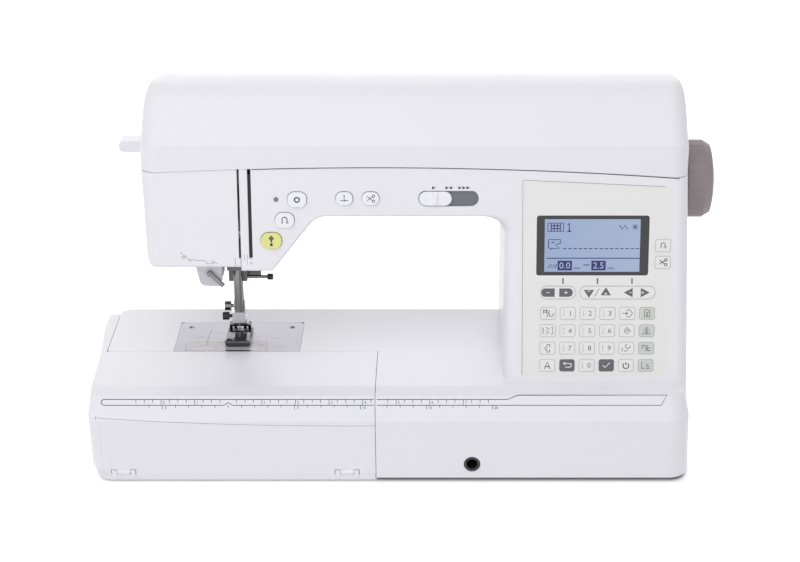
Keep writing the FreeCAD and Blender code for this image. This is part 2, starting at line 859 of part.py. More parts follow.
def film_block(off, y0, y1):
    k = 1 / math.cos(tilt)
    pts = [(panel_left + 1.0, 0), (panel_right - 4, 0, 3.0), (panel_right - 4, (panel_head - panel_foot) * k, 4.0),
           (panel_left, (panel_head_left - panel_foot) * k)]
    return plate_xz(pts, y0, y1)


def screen_block(grow, y0, y1):
    k = 1 / math.cos(tilt)
    h = (lcd_head - lcd_foot) * k / 2 + grow
    return plate_xz([(lcd_left - grow, -h, 2.0), (lcd_right + grow, -h, 2.0), (lcd_right + grow, h, 2.0),
                     (lcd_left - grow, h, 2.0)], y0, y1)


def slot_block(grow, y0, y1):
    w, h = slot_long / 2 + grow, slot_high / 2 + grow
    return plate_xz([(slot_mid - w, -h, 1.8), (slot_mid + w, -h, 1.8), (slot_mid + w, h, 1.8),
                     (slot_mid - w, h, 1.8)], y0, y1)


key_columns = 6
key_rows = 4
key_pitch_x = 15.0
key_pitch_z = 13.75
key_first_x = 112.8
key_first_z = 129.5
key_wide = 11.8
key_high = 9.9
key_rise = 0.35


def key_pad(x, z, w, h, r):
    y0 = -key_rise
    pad = plate_xz([(x - w / 2, -h / 2, r), (x + w / 2, -h / 2, r), (x + w / 2, h / 2, r), (x - w / 2, h / 2, r)],
                   y0, film / 2)
    return on_panel(pad, z)


def key_spots():
    """Flat raised pads of the keypad: the grid, two long keys over it and two at the side of the display."""
    spots = []
    for row in range(key_rows):
        for col in range(key_columns):
            spots.append((key_first_x + col * key_pitch_x, key_first_z - row * key_pitch_z, key_wide, key_high, 2.2))
    spots.append((120.2, 145.8, 26.6, 9.8, 4.6))
    spots.append((165.0, 145.8, 56.6, 9.8, 4.6))
    spots.append((198.3, 182.4, 11.8, 10.6, 3.0))
    spots.append((198.5, 169.4, 11.8, 10.6, 3.0))
    return spots


def panel_film():
    body = on_panel(film_block(0.0, 0.0, film), panel_foot)
    body = body.cut(on_panel(screen_block(0.0, -5, 5), (lcd_foot + lcd_head) / 2))
    return body.fuse([key_pad(*s) for s in key_spots()]).removeSplitter()


def screen_frame():
    z = (lcd_foot + lcd_head) / 2
    body = screen_block(0.0, 0.0, wall + 6)
    body = body.fuse(screen_block(3.0, wall, wall + 6))
    inner = screen_block(-lcd_border, -5, wall + 1.5)
    return on_panel(body.cut(inner), z)


def screen_glass():
    z = (lcd_foot + lcd_head) / 2
    return on_panel(screen_block(-lcd_border, 0.6, wall + 1.5), z)


def speed_track():
    body = slot_block(3.0, wall, wall + 3).fuse(slot_block(0.0, wall - 1.2, wall))
    return on_panel(body, slot_z)


def speed_knob():
    x0 = slot_mid - slot_long / 2 + 0.6
    h = slot_high / 2 - free
    z1 = h
    body = plate_xz([(x0, -h, 1.5), (x0 + knob_long, -h, 1.5), (x0 + knob_long, z1, 1.5), (x0, z1, 1.5)],
                    -1.6, wall - 1.2 - 0.3)
    mid = x0 + knob_long / 2
    body = body.fuse(plate_xy([(mid - 1.6, -3.4, 0.8), (mid + 1.6, -3.4, 0.8), (mid + 1.6, -1, 0), (mid - 1.6, -1, 0)],
                              -h + 0.6, h - 0.6))
    return on_panel(body, slot_z)


def push_button(name):
    """Cap with a stem and a collar behind the cover, so that it can't fall out."""
    x, z, w, h = buttons[name]
    body = oval(x, z, w, h, -1.6, wall + 2.0)
    rim = oval(x, z, w + 3, h + 3, wall + run, wall + 1.8)
    return body.fuse(rim).removeSplitter()


def indicator_lamp():
    return on_panel(Part.makeCylinder(lamp_rad, wall + 3, V(lamp_x, -0.5, 0), V(0, 1, 0)), lamp_z)


sy = back(shaft_back)
ny = back(needle_back)
hook_x = needle_x - hook_left
hook_y = back(needle_back - hook_fore)
low_y = back(low_shaft_back)
beam_front = 127.0
beam_rear = 141.0
beam_low = 208.5
beam_high = 222.0
left_lug = -104.0
lug_thick = 9.0
right_lug = 150.0
pulley_start = 186.0
pulley_wide = 10.0
sprocket_start = 168.0
guide_low = 122.0
guide_high = 134.0
guide2_low = 136.0
guide2_high = 146.0
guide3_low = 151.0
guide3_high = 160.0
bar_left = needle_x - 7.5
bar_right = needle_x + 7.0
takeup_back = 80.0
takeup_z = 214.0
takeup_reach = 35.0
takeup_drop = 24.0
takeup_thick = 0.9
takeup_rad = 2.0


def inner_frame():
    """Casting that carries the shafts: bed beam, post in the column, arm beam with bearing lugs."""
    beam = box(needle_x - 12, 196, back(beam_front), back(beam_rear), beam_low, beam_high)
    post = box(96, 122, back(112), back(beam_rear), pan_top, beam_high)
    foot = box(-8, 200, back(112), back(150), pan_top, pan_top + 10)
    bed = box(-206, base_left - 1, back(138), back(150), arm_floor + wall, 62)
    bed = bed.fuse(box(base_left - 2, -8, back(112), back(150), arm_floor + wall + 4 + free, 62))
    bed = bed.fuse(box(base_left + wall + 1, 10, back(138), back(150), pan_top, 62))
    parts = [beam, post, foot, bed]
    for x in (left_lug, right_lug):
        front = takeup_back - 6 if x < 0 else shaft_back - 11
        parts.append(box(x, x + lug_thick, back(front), back(beam_front + 1), shaft_z - 10, beam_high))
    parts.append(box(left_lug, left_lug + lug_thick, back(dial_back - 6), back(dial_back + 6), beam_high - 2, 234))
    # stud of the take-up lever and axle of the tension dial
    parts.append(rod_x(slot_line - 3.0, left_lug + 1, back(takeup_back), takeup_z, takeup_rad))
    parts.append(rod_x(left_lug + 1, dial_x + dial_thick / 2 + 2, back(dial_back), dial_z, 2.5))
    # lug of the presser lever
    half = presser_lever_wide / 2
    lug_x = presser_lever_x + half + free
    parts.append(box(lug_x, lug_x + 6, back(presser_pivot_back - 8), back(beam_rear), presser_pivot_z - 8, beam_low + 1))
    parts.append(rod_x(presser_lever_x - half - 1, lug_x + 1, back(presser_pivot_back), presser_pivot_z, 2.5))
    body = join(parts)
    for x in (left_lug, right_lug):
        body = body.cut(rod_x(x - 1, x + lug_thick + 1, sy, shaft_z, shaft_rad + run))
    # shell of the lower shaft and the hook bearing
    body = body.cut(rod_x(-20.5, 123, low_y, low_shaft_z, low_shaft_rad + run))
    arm = box(hook_x - 7, hook_x + 7, hook_y - 7, back(139), arm_floor + wall, low_shaft_z - low_gear_rad - 1)
    post2 = rod_z(hook_x, hook_y, arm_floor + wall, 33.5, 7)
    body = body.fuse([arm, post2]).cut(rod_z(hook_x, hook_y, arm_floor + wall - 1, 40, 3 + run))
    carrier = box(-112, -103, low_y - 8, back(139), low_shaft_z - 8, low_shaft_z + 8)
    carrier = carrier.cut(rod_x(-113, -102, low_y, low_shaft_z, low_shaft_rad + run))
    body = body.fuse(carrier)
    # ledge that the bobbin case hangs from
    arm2 = box(hook_x - 28, hook_x - 20, hook_y - 4, back(139), 63, 66)
    arm2 = arm2.fuse(box(hook_x - 28, hook_x - 20, back(138), back(150), 60, 66))
    body = body.fuse(arm2)
    # motor plate
    plate = box(122, 128, back(motor_back - 12), back(beam_rear), motor_z - 30, motor_z + 10)
    body = body.fuse(plate)
    body = body.cut(rod_x(90, 130, back(motor_back), motor_z, 8))
    return body.removeSplitter()


def main_shaft():
    return rod_x(left_lug - 4, wheel_start + 12, sy, shaft_z, shaft_rad)


def crank():
    """Crank disc with counterweight and the pin that drives the needle bar."""
    x0 = left_lug - 12
    x1 = left_lug - 4
    disc = rod_x(x0, x1, sy, shaft_z, crank_rad)
    for s in (-1, 1):
        hole = rod_x(x0 - 1, x1 + 1, sy + s * 12, shaft_z + 4, 5)
        disc = disc.cut(hole)
    pin = rod_x(x0 - 2.5, x0 + 1, sy, shaft_z - stroke / 2, 2.2)
    return disc.fuse(pin).removeSplitter()


def handwheel():
    """Turned wheel with a domed outer face and a knurled grip round the rim."""
    x0, x1 = wheel_start + 0.6, x_right
    r = wheel_rad
    pts = [(x0, 6), (x0, r - 3), (x0 + 3, r), (x1 - 9, r), (x1 - 3.2, r - 3.5)]
    edges = []
    flat = [V(a, sy + b, shaft_z) for a, b in pts]
    for p, q in zip(flat, flat[1:]):
        edges.append(Part.makeLine(p, q))
    tip = V(x1, sy + 3, shaft_z)
    bulge = V(x1 - 0.7, sy + (r - 3.5) * 0.55, shaft_z)
    edges.append(Part.Arc(flat[-1], bulge, tip).toShape())
    hub = V(x1, sy, shaft_z)
    start = V(x0, sy, shaft_z)
    edges.append(Part.makeLine(tip, hub))
    edges.append(Part.makeLine(hub, start))
    edges.append(Part.makeLine(start, flat[0]))
    body = Part.Face(Part.Wire(edges)).revolve(V(0, sy, shaft_z), V(1, 0, 0), 360)
    for i in range(24):
        a = math.radians(i * 15)
        y, z = sy + (r + 1.8) * math.cos(a), shaft_z + (r + 1.8) * math.sin(a)
        body = body.cut(rod_x(x0 - 1, x1 - 9, y, z, 2.2))
    return body.cut(rod_x(x0 - 1, wheel_start + 12, sy, shaft_z, shaft_rad))


def on_shaft(x0, x1, y, z, rad, bore, flange):
    body = rod_x(x0, x1, y, z, rad)
    body = body.fuse([rod_x(x0, x0 + 1, y, z, rad + flange), rod_x(x1 - 1, x1, y, z, rad + flange)])
    return body.cut(rod_x(x0 - 1, x1 + 1, y, z, bore)).removeSplitter()


def shaft_pulley():
    """Drive pulley and belt sprocket with the sleeve that joins them."""
    drive = on_shaft(pulley_start, pulley_start + pulley_wide, sy, shaft_z, pulley_rad, shaft_rad, 1.2)
    timing = on_shaft(sprocket_start, sprocket_start + pulley_wide, sy, shaft_z, sprocket_rad, shaft_rad, 1.2)
    sleeve = rod_x(sprocket_start, pulley_start + 1, sy, shaft_z, shaft_rad + 2.5)
    sleeve = sleeve.cut(rod_x(sprocket_start - 1, pulley_start + 2, sy, shaft_z, shaft_rad))
    return join([drive, timing, sleeve])


def belt(x0, x1, y1, z1, r1, y2, z2, r2, thick):
    """Flat belt round two wheels."""
    def skin(grow):
        a = math.atan2(z2 - z1, y2 - y1)
        dist = math.hypot(y2 - y1, z2 - z1)
        lean = math.acos((r1 - r2) / dist)
        pts = []
        for s in (1, -1):
            n = a + s * lean
            p = V(x0, y1 + (r1 + grow) * math.cos(n), z1 + (r1 + grow) * math.sin(n))
            q = V(x0, y2 + (r2 + grow) * math.cos(n), z2 + (r2 + grow) * math.sin(n))
            pts.append((p, q))
        far1 = V(x0, y1 - (r1 + grow) * math.cos(a), z1 - (r1 + grow) * math.sin(a))
        far2 = V(x0, y2 + (r2 + grow) * math.cos(a), z2 + (r2 + grow) * math.sin(a))
        wire = Part.Wire([Part.makeLine(pts[0][0], pts[0][1]), Part.Arc(pts[0][1], far2, pts[1][1]).toShape(),
                          Part.makeLine(pts[1][1], pts[1][0]), Part.Arc(pts[1][0], far1, pts[0][0]).toShape()])
        return prism(wire, V(x1 - x0, 0, 0))
    return skin(0.05 + thick).cut(skin(0.05))


def drive_belt():
    return belt(pulley_start + 1.3, pulley_start + pulley_wide - 1.3, sy, shaft_z, pulley_rad, back(motor_back),
                motor_z, motor_pulley_rad, 1.0)


def timing_belt():
    return belt(sprocket_start + 1.3, sprocket_start + pulley_wide - 1.3, sy, shaft_z, sprocket_rad, low_y,
                low_shaft_z, sprocket_rad, 1.0)


def motor():
    x0, x1 = 128.0, pulley_start - 4
    y = back(motor_back)
    body = rod_x(x0, x1, y, motor_z, motor_rad)
    body = body.fuse(rod_x(x0 - 5, x0 + 1, y, motor_z, 7.5))
    return body.cut(rod_x(x1 - 20, x1 + 1, y, motor_z, 2.5 + run)).removeSplitter()


def motor_pulley():
    y = back(motor_back)
    body = on_shaft(pulley_start, pulley_start + pulley_wide, y, motor_z, motor_pulley_rad, 1.0, 1.2)
    return body.fuse(rod_x(pulley_start - 22, pulley_start + pulley_wide, y, motor_z, 2.5)).removeSplitter()


def lower_shaft():
    body = rod_x(hook_x - 8, sprocket_start + pulley_wide + 3, low_y, low_shaft_z, low_shaft_rad)
    body = body.fuse(on_shaft(sprocket_start, sprocket_start + pulley_wide, low_y, low_shaft_z, sprocket_rad,
                              low_shaft_rad - 1, 1.2))
    return body.fuse(rod_x(hook_x - 5, hook_x + 5, low_y, low_shaft_z, low_gear_rad)).removeSplitter()


def hook():
    """Rotating cup with a pointed hook cut into its rim, on a stub shaft with its gear."""
    gear_rad = low_shaft_back - (needle_back - hook_fore) - low_gear_rad - gear_gap
    cup = rod_z(hook_x, hook_y, hook_foot, hook_top - 3, hook_rad)
    cup = cup.cut(rod_z(hook_x, hook_y, hook_foot + 1.8, hook_top + 1, hook_rad - hook_wall))
    notch = box(hook_x, hook_x + hook_rad + 2, hook_y - 6, hook_y + 2, hook_foot + 9, hook_top)
    cup = cup.cut(notch)
    gear = rod_z(hook_x, hook_y, low_shaft_z - 4, low_shaft_z + 4, gear_rad)
    stem = rod_z(hook_x, hook_y, arm_floor + wall + 0.5, hook_foot + 1, 3)
    return join([cup, gear, stem])


def bobbin_case():
    """Inner case that stays still in the cup, held by a lip that reaches out to a ledge."""
    body = rod_z(hook_x, hook_y, hook_foot + 2.4, hook_top - 1, case_rad)
    body = body.cut(rod_z(hook_x, hook_y, hook_foot + 3.6, hook_top, case_rad - case_wall))
    lip = box(hook_x - 28, hook_x - case_rad + 0.6, hook_y - 4, hook_y + 4, hook_top - 2.6, hook_top - 1)
    drop = box(hook_x - 28, hook_x - 20, hook_y - 4, hook_y + 4, 66, hook_top - 1)
    body = join([body, lip, drop])
    return body.cut(rod_z(hook_x, hook_y, hook_foot + 3.6, hook_top, case_rad - case_wall))


def bobbin():
    z0 = hook_foot + 3.6
    body = rod_z(hook_x, hook_y, z0, z0 + bobbin_high, bobbin_rad)
    ring = rod_z(hook_x, hook_y, z0 + 1.2, z0 + bobbin_high - 1.2, bobbin_rad + 1)
    ring = ring.cut(rod_z(hook_x, hook_y, z0, z0 + bobbin_high, 7.5))
    return body.cut(ring).cut(rod_z(hook_x, hook_y, z0 - 1, z0 + bobbin_high + 1, 3))


def feed_dog():
    """Toothed bars in the plate's slots, on one carrier behind the needle."""
    top = bed_top - 0.4
    parts = []
    for s in (-1, 1):
        x = needle_x + s * feed_apart / 2
        bar = box(x - feed_wide / 2, x + feed_wide / 2, ny - 8, ny - 8 + feed_long, top - 2.6, top)
        n = 9
        for i in range(n):
            y = ny - 8 + (i + 0.5) * feed_long / n
            groove = plate_yz([(y - 0.9, top + 0.1), (y + 0.1, top - 0.9), (y + 0.5, top + 0.1)], x - 4, x + 4)
            bar = bar.cut(groove)
        parts.append(bar)
    yc = ny - 8 + feed_long
    parts.append(box(needle_x - 10, needle_x + 10, yc - 1, yc + 5, top - 8, top - 2.4))
    parts.append(box(needle_x - 4, needle_x + 4, yc + 1, yc + 5, top - 14, top - 7))
    return join(parts)


def bar_frame():
    """Bracket with the two guides of the needle bar and presser bar."""
    py = back(presser_back)
    plate_y = back(beam_front)
    body = box(bar_left, bar_right + 10, plate_y - 4, plate_y, guide_low, beam_high)
    body = body.fuse(box(bar_left, bar_right, py - 4.2, plate_y, guide_low, guide_high + 3))
    for z0, z1 in ((guide2_low, guide2_high), (guide3_low, guide3_high)):
        body = body.fuse(box(bar_left, bar_right, ny - 7, plate_y, z0, z1))
    body = body.cut(rod_z(needle_x, ny, 100, 240, bar_rad + run))
    body = body.cut(rod_z(needle_x, py, 100, 240, bar_rad + run))
    # clear the swing of the presser lever and the crank
    body = body.cut(rod_x(left_lug - 15.5, left_lug - 1, sy, shaft_z, crank_rad + 1))
    half = presser_lever_wide / 2 + 1
    body = body.cut(box(presser_lever_x - half, presser_lever_x + half, plate_y - 5, plate_y + 1, 160, 212))
    return body.removeSplitter()


def needle_bar():
    body = rod_z(needle_x, ny, clamp_z - 2, 180, bar_rad)
    body = body.fuse(box(needle_x - 5, needle_x + 5, ny - 6, ny + 4.4, 169, 179))
    # stub that carries the link from the crank
    body = body.fuse(rod_x(needle_x + 4, needle_x + 9.5, ny, 174, 2.2))
    return body.cut(rod_z(needle_x, ny, clamp_z - 3, clamp_z + 4, needle_rad + 0.0)).removeSplitter()


def bar_link():
    x0, x1 = needle_x + 5.6, needle_x + 9.2
    z1 = shaft_z - stroke / 2
    body = rod_x(x0, x1, ny, 174, 4.5).fuse(rod_x(x0, x1, ny, z1, 4.8))
    body = body.fuse(box(x0, x1, ny - 2.6, ny + 2.6, 174, z1))
    body = body.cut(rod_x(x0 - 1, x1 + 1, ny, 174, 2.2))
    return body.cut(rod_x(x0 - 1, x1 + 1, ny, z1, 2.5)).removeSplitter()


def needle_clamp():
    body = box(needle_x - 5, needle_x + 5, ny - 5, ny + 4.0, clamp_z - 4, clamp_z + 5)
    body = body.cut(rod_z(needle_x, ny, clamp_z - 2, clamp_z + 6, bar_rad))
    body = body.cut(rod_z(needle_x, ny, clamp_z - 5, clamp_z, needle_rad))
    return body.cut(rod_x(needle_x - 6, needle_x - bar_rad, ny, clamp_z, 1.4))


def clamp_screw():
    body = rod_x(needle_x - 9, needle_x - bar_rad, ny, clamp_z, 1.4)
    knob = rod_x(needle_x - 13, needle_x - 8, ny, clamp_z, 3.2)
    knob = knob.cut(box(needle_x - 14, needle_x - 12.2, ny - 4, ny + 4, clamp_z - 0.5, clamp_z + 0.5))
    return body.fuse(knob).removeSplitter()


def needle():
    """Needle with a thick shank, a thin blade, an eye and a sharp tip."""
    shank = rod_z(needle_x, ny, clamp_z - 14, clamp_z + 4, needle_rad)
    eye_z = needle_tip + 6
    blade = rod_z(needle_x, ny, needle_tip + 3, clamp_z - 13, needle_rad * 0.95)
    tip = Part.makeCone(0.05, needle_rad * 0.95, 3, V(needle_x, ny, needle_tip))
    body = join([shank, blade, tip])
    return body.cut(rod_y(needle_x, ny - 2, ny + 2, eye_z, 0.2))


def presser_bar():
    py = back(presser_back)
    body = rod_z(needle_x, py, holder_z - 9, 204, bar_rad)
    collar = box(bar_left + 1, bar_right - 1, py - 3.8, py + 5, 184, 192)
    return body.fuse(collar).removeSplitter()


def foot_holder():
    """Ankle that clamps on the presser bar and carries the foot on a cross pin."""
    py = back(presser_back)
    body = box(needle_x - 4.5, needle_x + 4.5, py - 4.2, py + 6, holder_z - 12, holder_z + 6)
    body = body.fuse(box(needle_x - 5, needle_x + 5, py - 4.2, py + 5, foot_pin_z + 2.4, holder_z - 11))
    for s in (-1, 1):
        cheek = box(-1.2, 1.2, py - 4, py + 4, foot_pin_z - 2.2, foot_pin_z + 4)
        cheek.translate(V(needle_x + s * 3.8, 0, 0))
        body = body.fuse(cheek)
    body = body.cut(rod_z(needle_x, py, holder_z - 9, holder_z + 8, bar_rad))
    body = body.cut(rod_x(needle_x - 6, needle_x + 6, py, foot_pin_z, 1.2))
    return body.cut(rod_x(needle_x - 6, needle_x - bar_rad, py, holder_z - 1, 1.5)).removeSplitter()


def holder_screw():
    py = back(presser_back)
    body = rod_x(needle_x - 8, needle_x - bar_rad, py, holder_z - 1, 1.5)
    head = rod_x(needle_x - 12, needle_x - 7, py, holder_z - 1, 4.0)
    head = head.cut(box(needle_x - 13, needle_x - 11.2, py - 5, py + 5, holder_z - 1.5, holder_z - 0.5))
    return body.fuse(head).removeSplitter()


def presser_foot():
    """Snap-on foot: sole with upturned toes, needle slot, and cheeks that hold the cross pin."""
    z0 = bed_top + 0.3
    f, r = back(foot_front), back(foot_rear)
    pts = [(f, z0 + 3.6, 0.5), (f + 9, z0, 8.0), (r - 3, z0), (r, z0 + 1.4), (r, z0 + 2.2), (f + 9.6, z0 + 2.2, 6.0),
           (f + 1, z0 + 5.6, 0.5)]
    body = plate_yz(pts, needle_x - foot_wide / 2, needle_x + foot_wide / 2)
    body = body.cut(plate_xy([(needle_x - 4.2, ny - 3, 1.4), (needle_x + 4.2, ny - 3, 1.4),
                              (needle_x + 4.2, ny + 2.2, 1.4), (needle_x - 4.2, ny + 2.2, 1.4)], z0 - 1, z0 + 9))
    body = body.cut(box(needle_x - 0.8, needle_x + 0.8, f - 1, ny, z0 - 1, z0 + 9))
    for x in (-7.4, -3.8, 2.2, 5.8):
        body = body.cut(box(needle_x + x, needle_x + x + 1.6, f + 12, ny - 5.5, z0 + 1.4, z0 + 9))
    py = back(presser_back)
    for s in (-1, 1):
        x = needle_x + s * 7.4
        cheek = box(x - 1.1, x + 1.1, py - 5, r, z0 + 1, foot_pin_z + 2.4)
        body = body.fuse(cheek)
    pin = rod_x(needle_x - 8, needle_x + 8, py, foot_pin_z, 1.2 - run)
    return body.fuse(pin).removeSplitter()


def thread_guide():
    """Bent wire rod on the lower guide that the thread slips behind."""
    y = back(presser_back) - 2
    body = rod_x(bar_right - 0.0, needle_x + 25, y, guide_low + 3, 1.3)
    return body.fuse(Part.makeSphere(1.9, V(needle_x + 25, y, guide_low + 3))).removeSplitter()


def take_up_lever():
    """Thin lever with an eye that shows in the slot between the covers."""
    y0, z0 = back(takeup_back), takeup_z
    tip_y, tip_z = y0 - takeup_reach, z0 - takeup_drop
    x0 = slot_line - takeup_thick / 2
    x1 = slot_line + takeup_thick / 2
    long = math.hypot(takeup_reach, takeup_drop)
    uy, uz = -takeup_reach / long, -takeup_drop / long
    py, pz = -uz, uy
    pts = [(y0 + 3.5 * py, z0 + 3.5 * pz), (y0 - 3.5 * py, z0 - 3.5 * pz), (tip_y - 2 * py, tip_z - 2 * pz),
           (tip_y + 2 * py, tip_z + 2 * pz)]
    body = plate_yz(pts, x0, x1)
    body = body.fuse([rod_x(x0, x1, y0, z0, 5), rod_x(x0, x1, tip_y, tip_z, 2.6)])
    hub = rod_x(x0 - 0.8, x1 + 3.0, y0, z0, 4.2)
    body = body.fuse(hub)
    body = body.cut(rod_x(x0 - 2, x1 + 4, y0, z0, takeup_rad + run))
    return body.cut(rod_x(x0 - 1, x1 + 1, tip_y, tip_z, 1.1)).removeSplitter()


def threader_lever():
    """Paddle on the left side, its slide inside the head and the arm that swings the thread through."""
    yb = back(lever_back)
    z = lever_z
    paddle = plate_xz([(head_left - 27, z - lever_high / 2, 3.5), (head_left - 0.8, z - lever_high / 2),
                       (head_left - 0.8, z + lever_high / 2), (head_left - 27, z + lever_high / 2, 3.5)],
                      yb - lever_deep / 2, yb + lever_deep / 2)
    neck = box(head_left - 2, -149, yb - lever_neck / 2, yb + lever_neck / 2, z - lever_neck / 2, z + lever_neck / 2)
    rail = rod_z(threader_x, yb, 124, z, rail_rad)
    arm = box(-152, -148, back(104), yb, 121.5, 124.5)
    tip = box(-152, -144, back(102.5), back(105), 121.5, 124.5)
    return join([paddle, neck, rail, arm, tip])


def threader_housing():
    """White guard under the face cover that guides the threader, rounded at its lower left."""
    body = plate_xz([(-164, 160, 0.0), (-157, 126, 5.0), (-141, 126, 2.0), (-139, 160, 0.0), (-139, 186), (-164, 186)],
                    back(93), back(120))
    body = body.cut(box(-161, -142, back(95.5), back(125), 128.5, 190))
    # the knob of the needle clamp comes up into this notch
    body = body.cut(box(needle_x - 14, bar_left, ny - 4.2, ny + 4.2, 120, clamp_z + stroke + 4.2))
    leg = box(-164, -139, back(118), back(beam_front), 176, 186)
    leg = leg.cut(box(-161, -147, back(125), back(150), 170, 190))
    stem = box(-143, -139, back(118), back(beam_front), 176, 216)
    stem = stem.fuse(box(-143, bar_left, back(beam_front - 4), back(beam_front), 200, 216))
    return join([body, leg, stem])


def presser_lever():
    """Hand lever at the back of the head that lifts the presser bar."""
    half = presser_lever_wide / 2
    y, z = back(presser_pivot_back), presser_pivot_z
    hub = rod_x(presser_lever_x - half, presser_lever_x + half, y, z, 7)
    arm = plate_yz([(y - 4, z), (y + 4, z), (y + 9, z - 32, 4.0), (y + 22, z - 40, 2.0), (y + 21, z - 45, 2.0),
                    (y + 4, z - 38, 6.0)], presser_lever_x - half, presser_lever_x + half)
    body = hub.fuse(arm)
    return body.cut(rod_x(presser_lever_x - 20, presser_lever_x + 20, y, z, 2.5 + run)).removeSplitter()


def feed_lever():
    """Slide at the back of the free arm that drops the feed dog."""
    y1 = back(base_depth)
    body = box(feed_lever_x - 5, feed_lever_x + 5, y1 - wall - 4, back(depth), feed_lever_z - 2, feed_lever_z + 2)
    body = body.fuse(box(feed_lever_x - 6, feed_lever_x + 6, y1 + 0.4, back(depth), feed_lever_z - 4.5, feed_lever_z + 4.5))
    body = body.fuse(box(feed_lever_x - 8, feed_lever_x + 8, y1 - wall - 4, y1 - wall - 0.4, feed_lever_z - 5,
                         feed_lever_z + 5))
    return body.removeSplitter()


pin_z = 252.0
pin_back = 106.0
pin_rad = 3.0


def spool_pin():
    z0 = deck_floor + wall
    body = box(120, 130, back(pin_back - 8), back(pin_back + 8), z0, pin_z + 6)
    return body.fuse(rod_x(30, 121, back(pin_back), pin_z, pin_rad)).removeSplitter()


def spool_cap():
    x0 = 38.0
    body = rod_x(x0, x0 + 3, back(pin_back), pin_z, 15).fuse(rod_x(x0 + 2, x0 + 12, back(pin_back), pin_z, 5))
    return body.cut(rod_x(x0 - 1, x0 + 13, back(pin_back), pin_z, pin_rad + run)).removeSplitter()


def winder_spindle():
    """Bobbin winder post in its slot, pushed to the right to engage."""
    y = back(winder_back)
    top = 240.0
    body = rod_z(winder_x, y, 222, top + 22, winder_rad)
    body = body.fuse(rod_z(winder_x, y, top, top + 2.4, 8))
    return body.fuse(rod_z(winder_x, y, 222, 225, 7)).removeSplitter()


def tension_dial():
    x0, x1 = dial_x - dial_thick / 2, dial_x + dial_thick / 2
    y = back(dial_back)
    body = rod_x(x0, x1, y, dial_z, dial_rad)
    for i in range(20):
        a = math.radians(i * 18)
        body = body.cut(rod_x(x0 - 1, x1 + 1, y + (dial_rad + 0.5) * math.cos(a), dial_z + (dial_rad + 0.5) * math.sin(a), 1.2))
    return body.cut(rod_x(x0 - 1, x1 + 1, y, dial_z, 2.5 + run))


def socket_panel():
    """Recessed plate in the right side with the mains inlet and the foot control jack."""
    x1 = side_x(socket_z) - 4.0
    x0 = x1 - 5.0
    y0, y1 = back(socket_back - socket_deep / 2), back(socket_back + socket_deep / 2)
    z0, z1 = socket_z - socket_high / 2, socket_z + socket_high / 2
    body = box(x0, x1, y0, y1, z0, z1)
    my = y0 + 18
    well = box(x0 - 12, x0, my - 14, my + 14, socket_z - 10, socket_z + 10)
    body = body.fuse(well)
    body = body.cut(box(x0 - 10, x1 + 1, my - 11, my + 11, socket_z - 7, socket_z + 7))
    for s in (-1, 1):
        body = body.fuse(rod_x(x0 - 11, x0 + 1, my + s * 4.5, socket_z, 1.2))
    jy = y1 - 12
    body = body.cut(rod_x(x0 - 1, x1 + 1, jy, socket_z - 9, 3.2))
    body = body.cut(switch_space(free))
    px, py, pz = switch_spot()
    body = body.fuse(rod_y(px, py - switch_wide / 2 - 2, py + switch_wide / 2 + 2, pz, switch_pin))
    return body.removeSplitter()


switch_pin = 1.2
switch_wide = 12.0
switch_high = 16.0


def switch_spot():
    return side_x(socket_z) - 6.5, back(socket_back + socket_deep / 2) - 12, socket_z + 6.0


def switch_space(grow):
    x, y, z = switch_spot()
    return box(x - 8, x + 8, y - switch_wide / 2 - grow, y + switch_wide / 2 + grow, z - switch_high / 2 - grow,
               z + switch_high / 2 + grow)


def power_switch():
    """Rocker on a cross pin."""
    x, y, z = switch_spot()
    h = switch_high / 2
    body = Part.Face(loop([(x - 3.5, z - h + 1.5, 0.6), (x + 4.4, z - h + 0.6, 0.6), (x + 2.6, z, 8.0),
                           (x + 2.6, z + h - 0.6, 0.6), (x - 3.5, z + h - 1.5, 0.6)], at_y(y - switch_wide / 2)))
    body = body.extrude(V(0, switch_wide, 0))
    return body.cut(rod_y(x, y - switch_wide, y + switch_wide, z, switch_pin + run))


def write(name, shape):
    if shape.ShapeType == "Compound" and len(shape.Solids) == 1:
        shape = shape.Solids[0]
    if not shape.Solids:
        raise ValueError(name + " is empty")
    for s in shape.Solids:
        if not s.isValid() or s.Volume <= 0:
            raise ValueError(name + " is not a sound solid")
    shape.exportStep("parts/" + name + ".step")


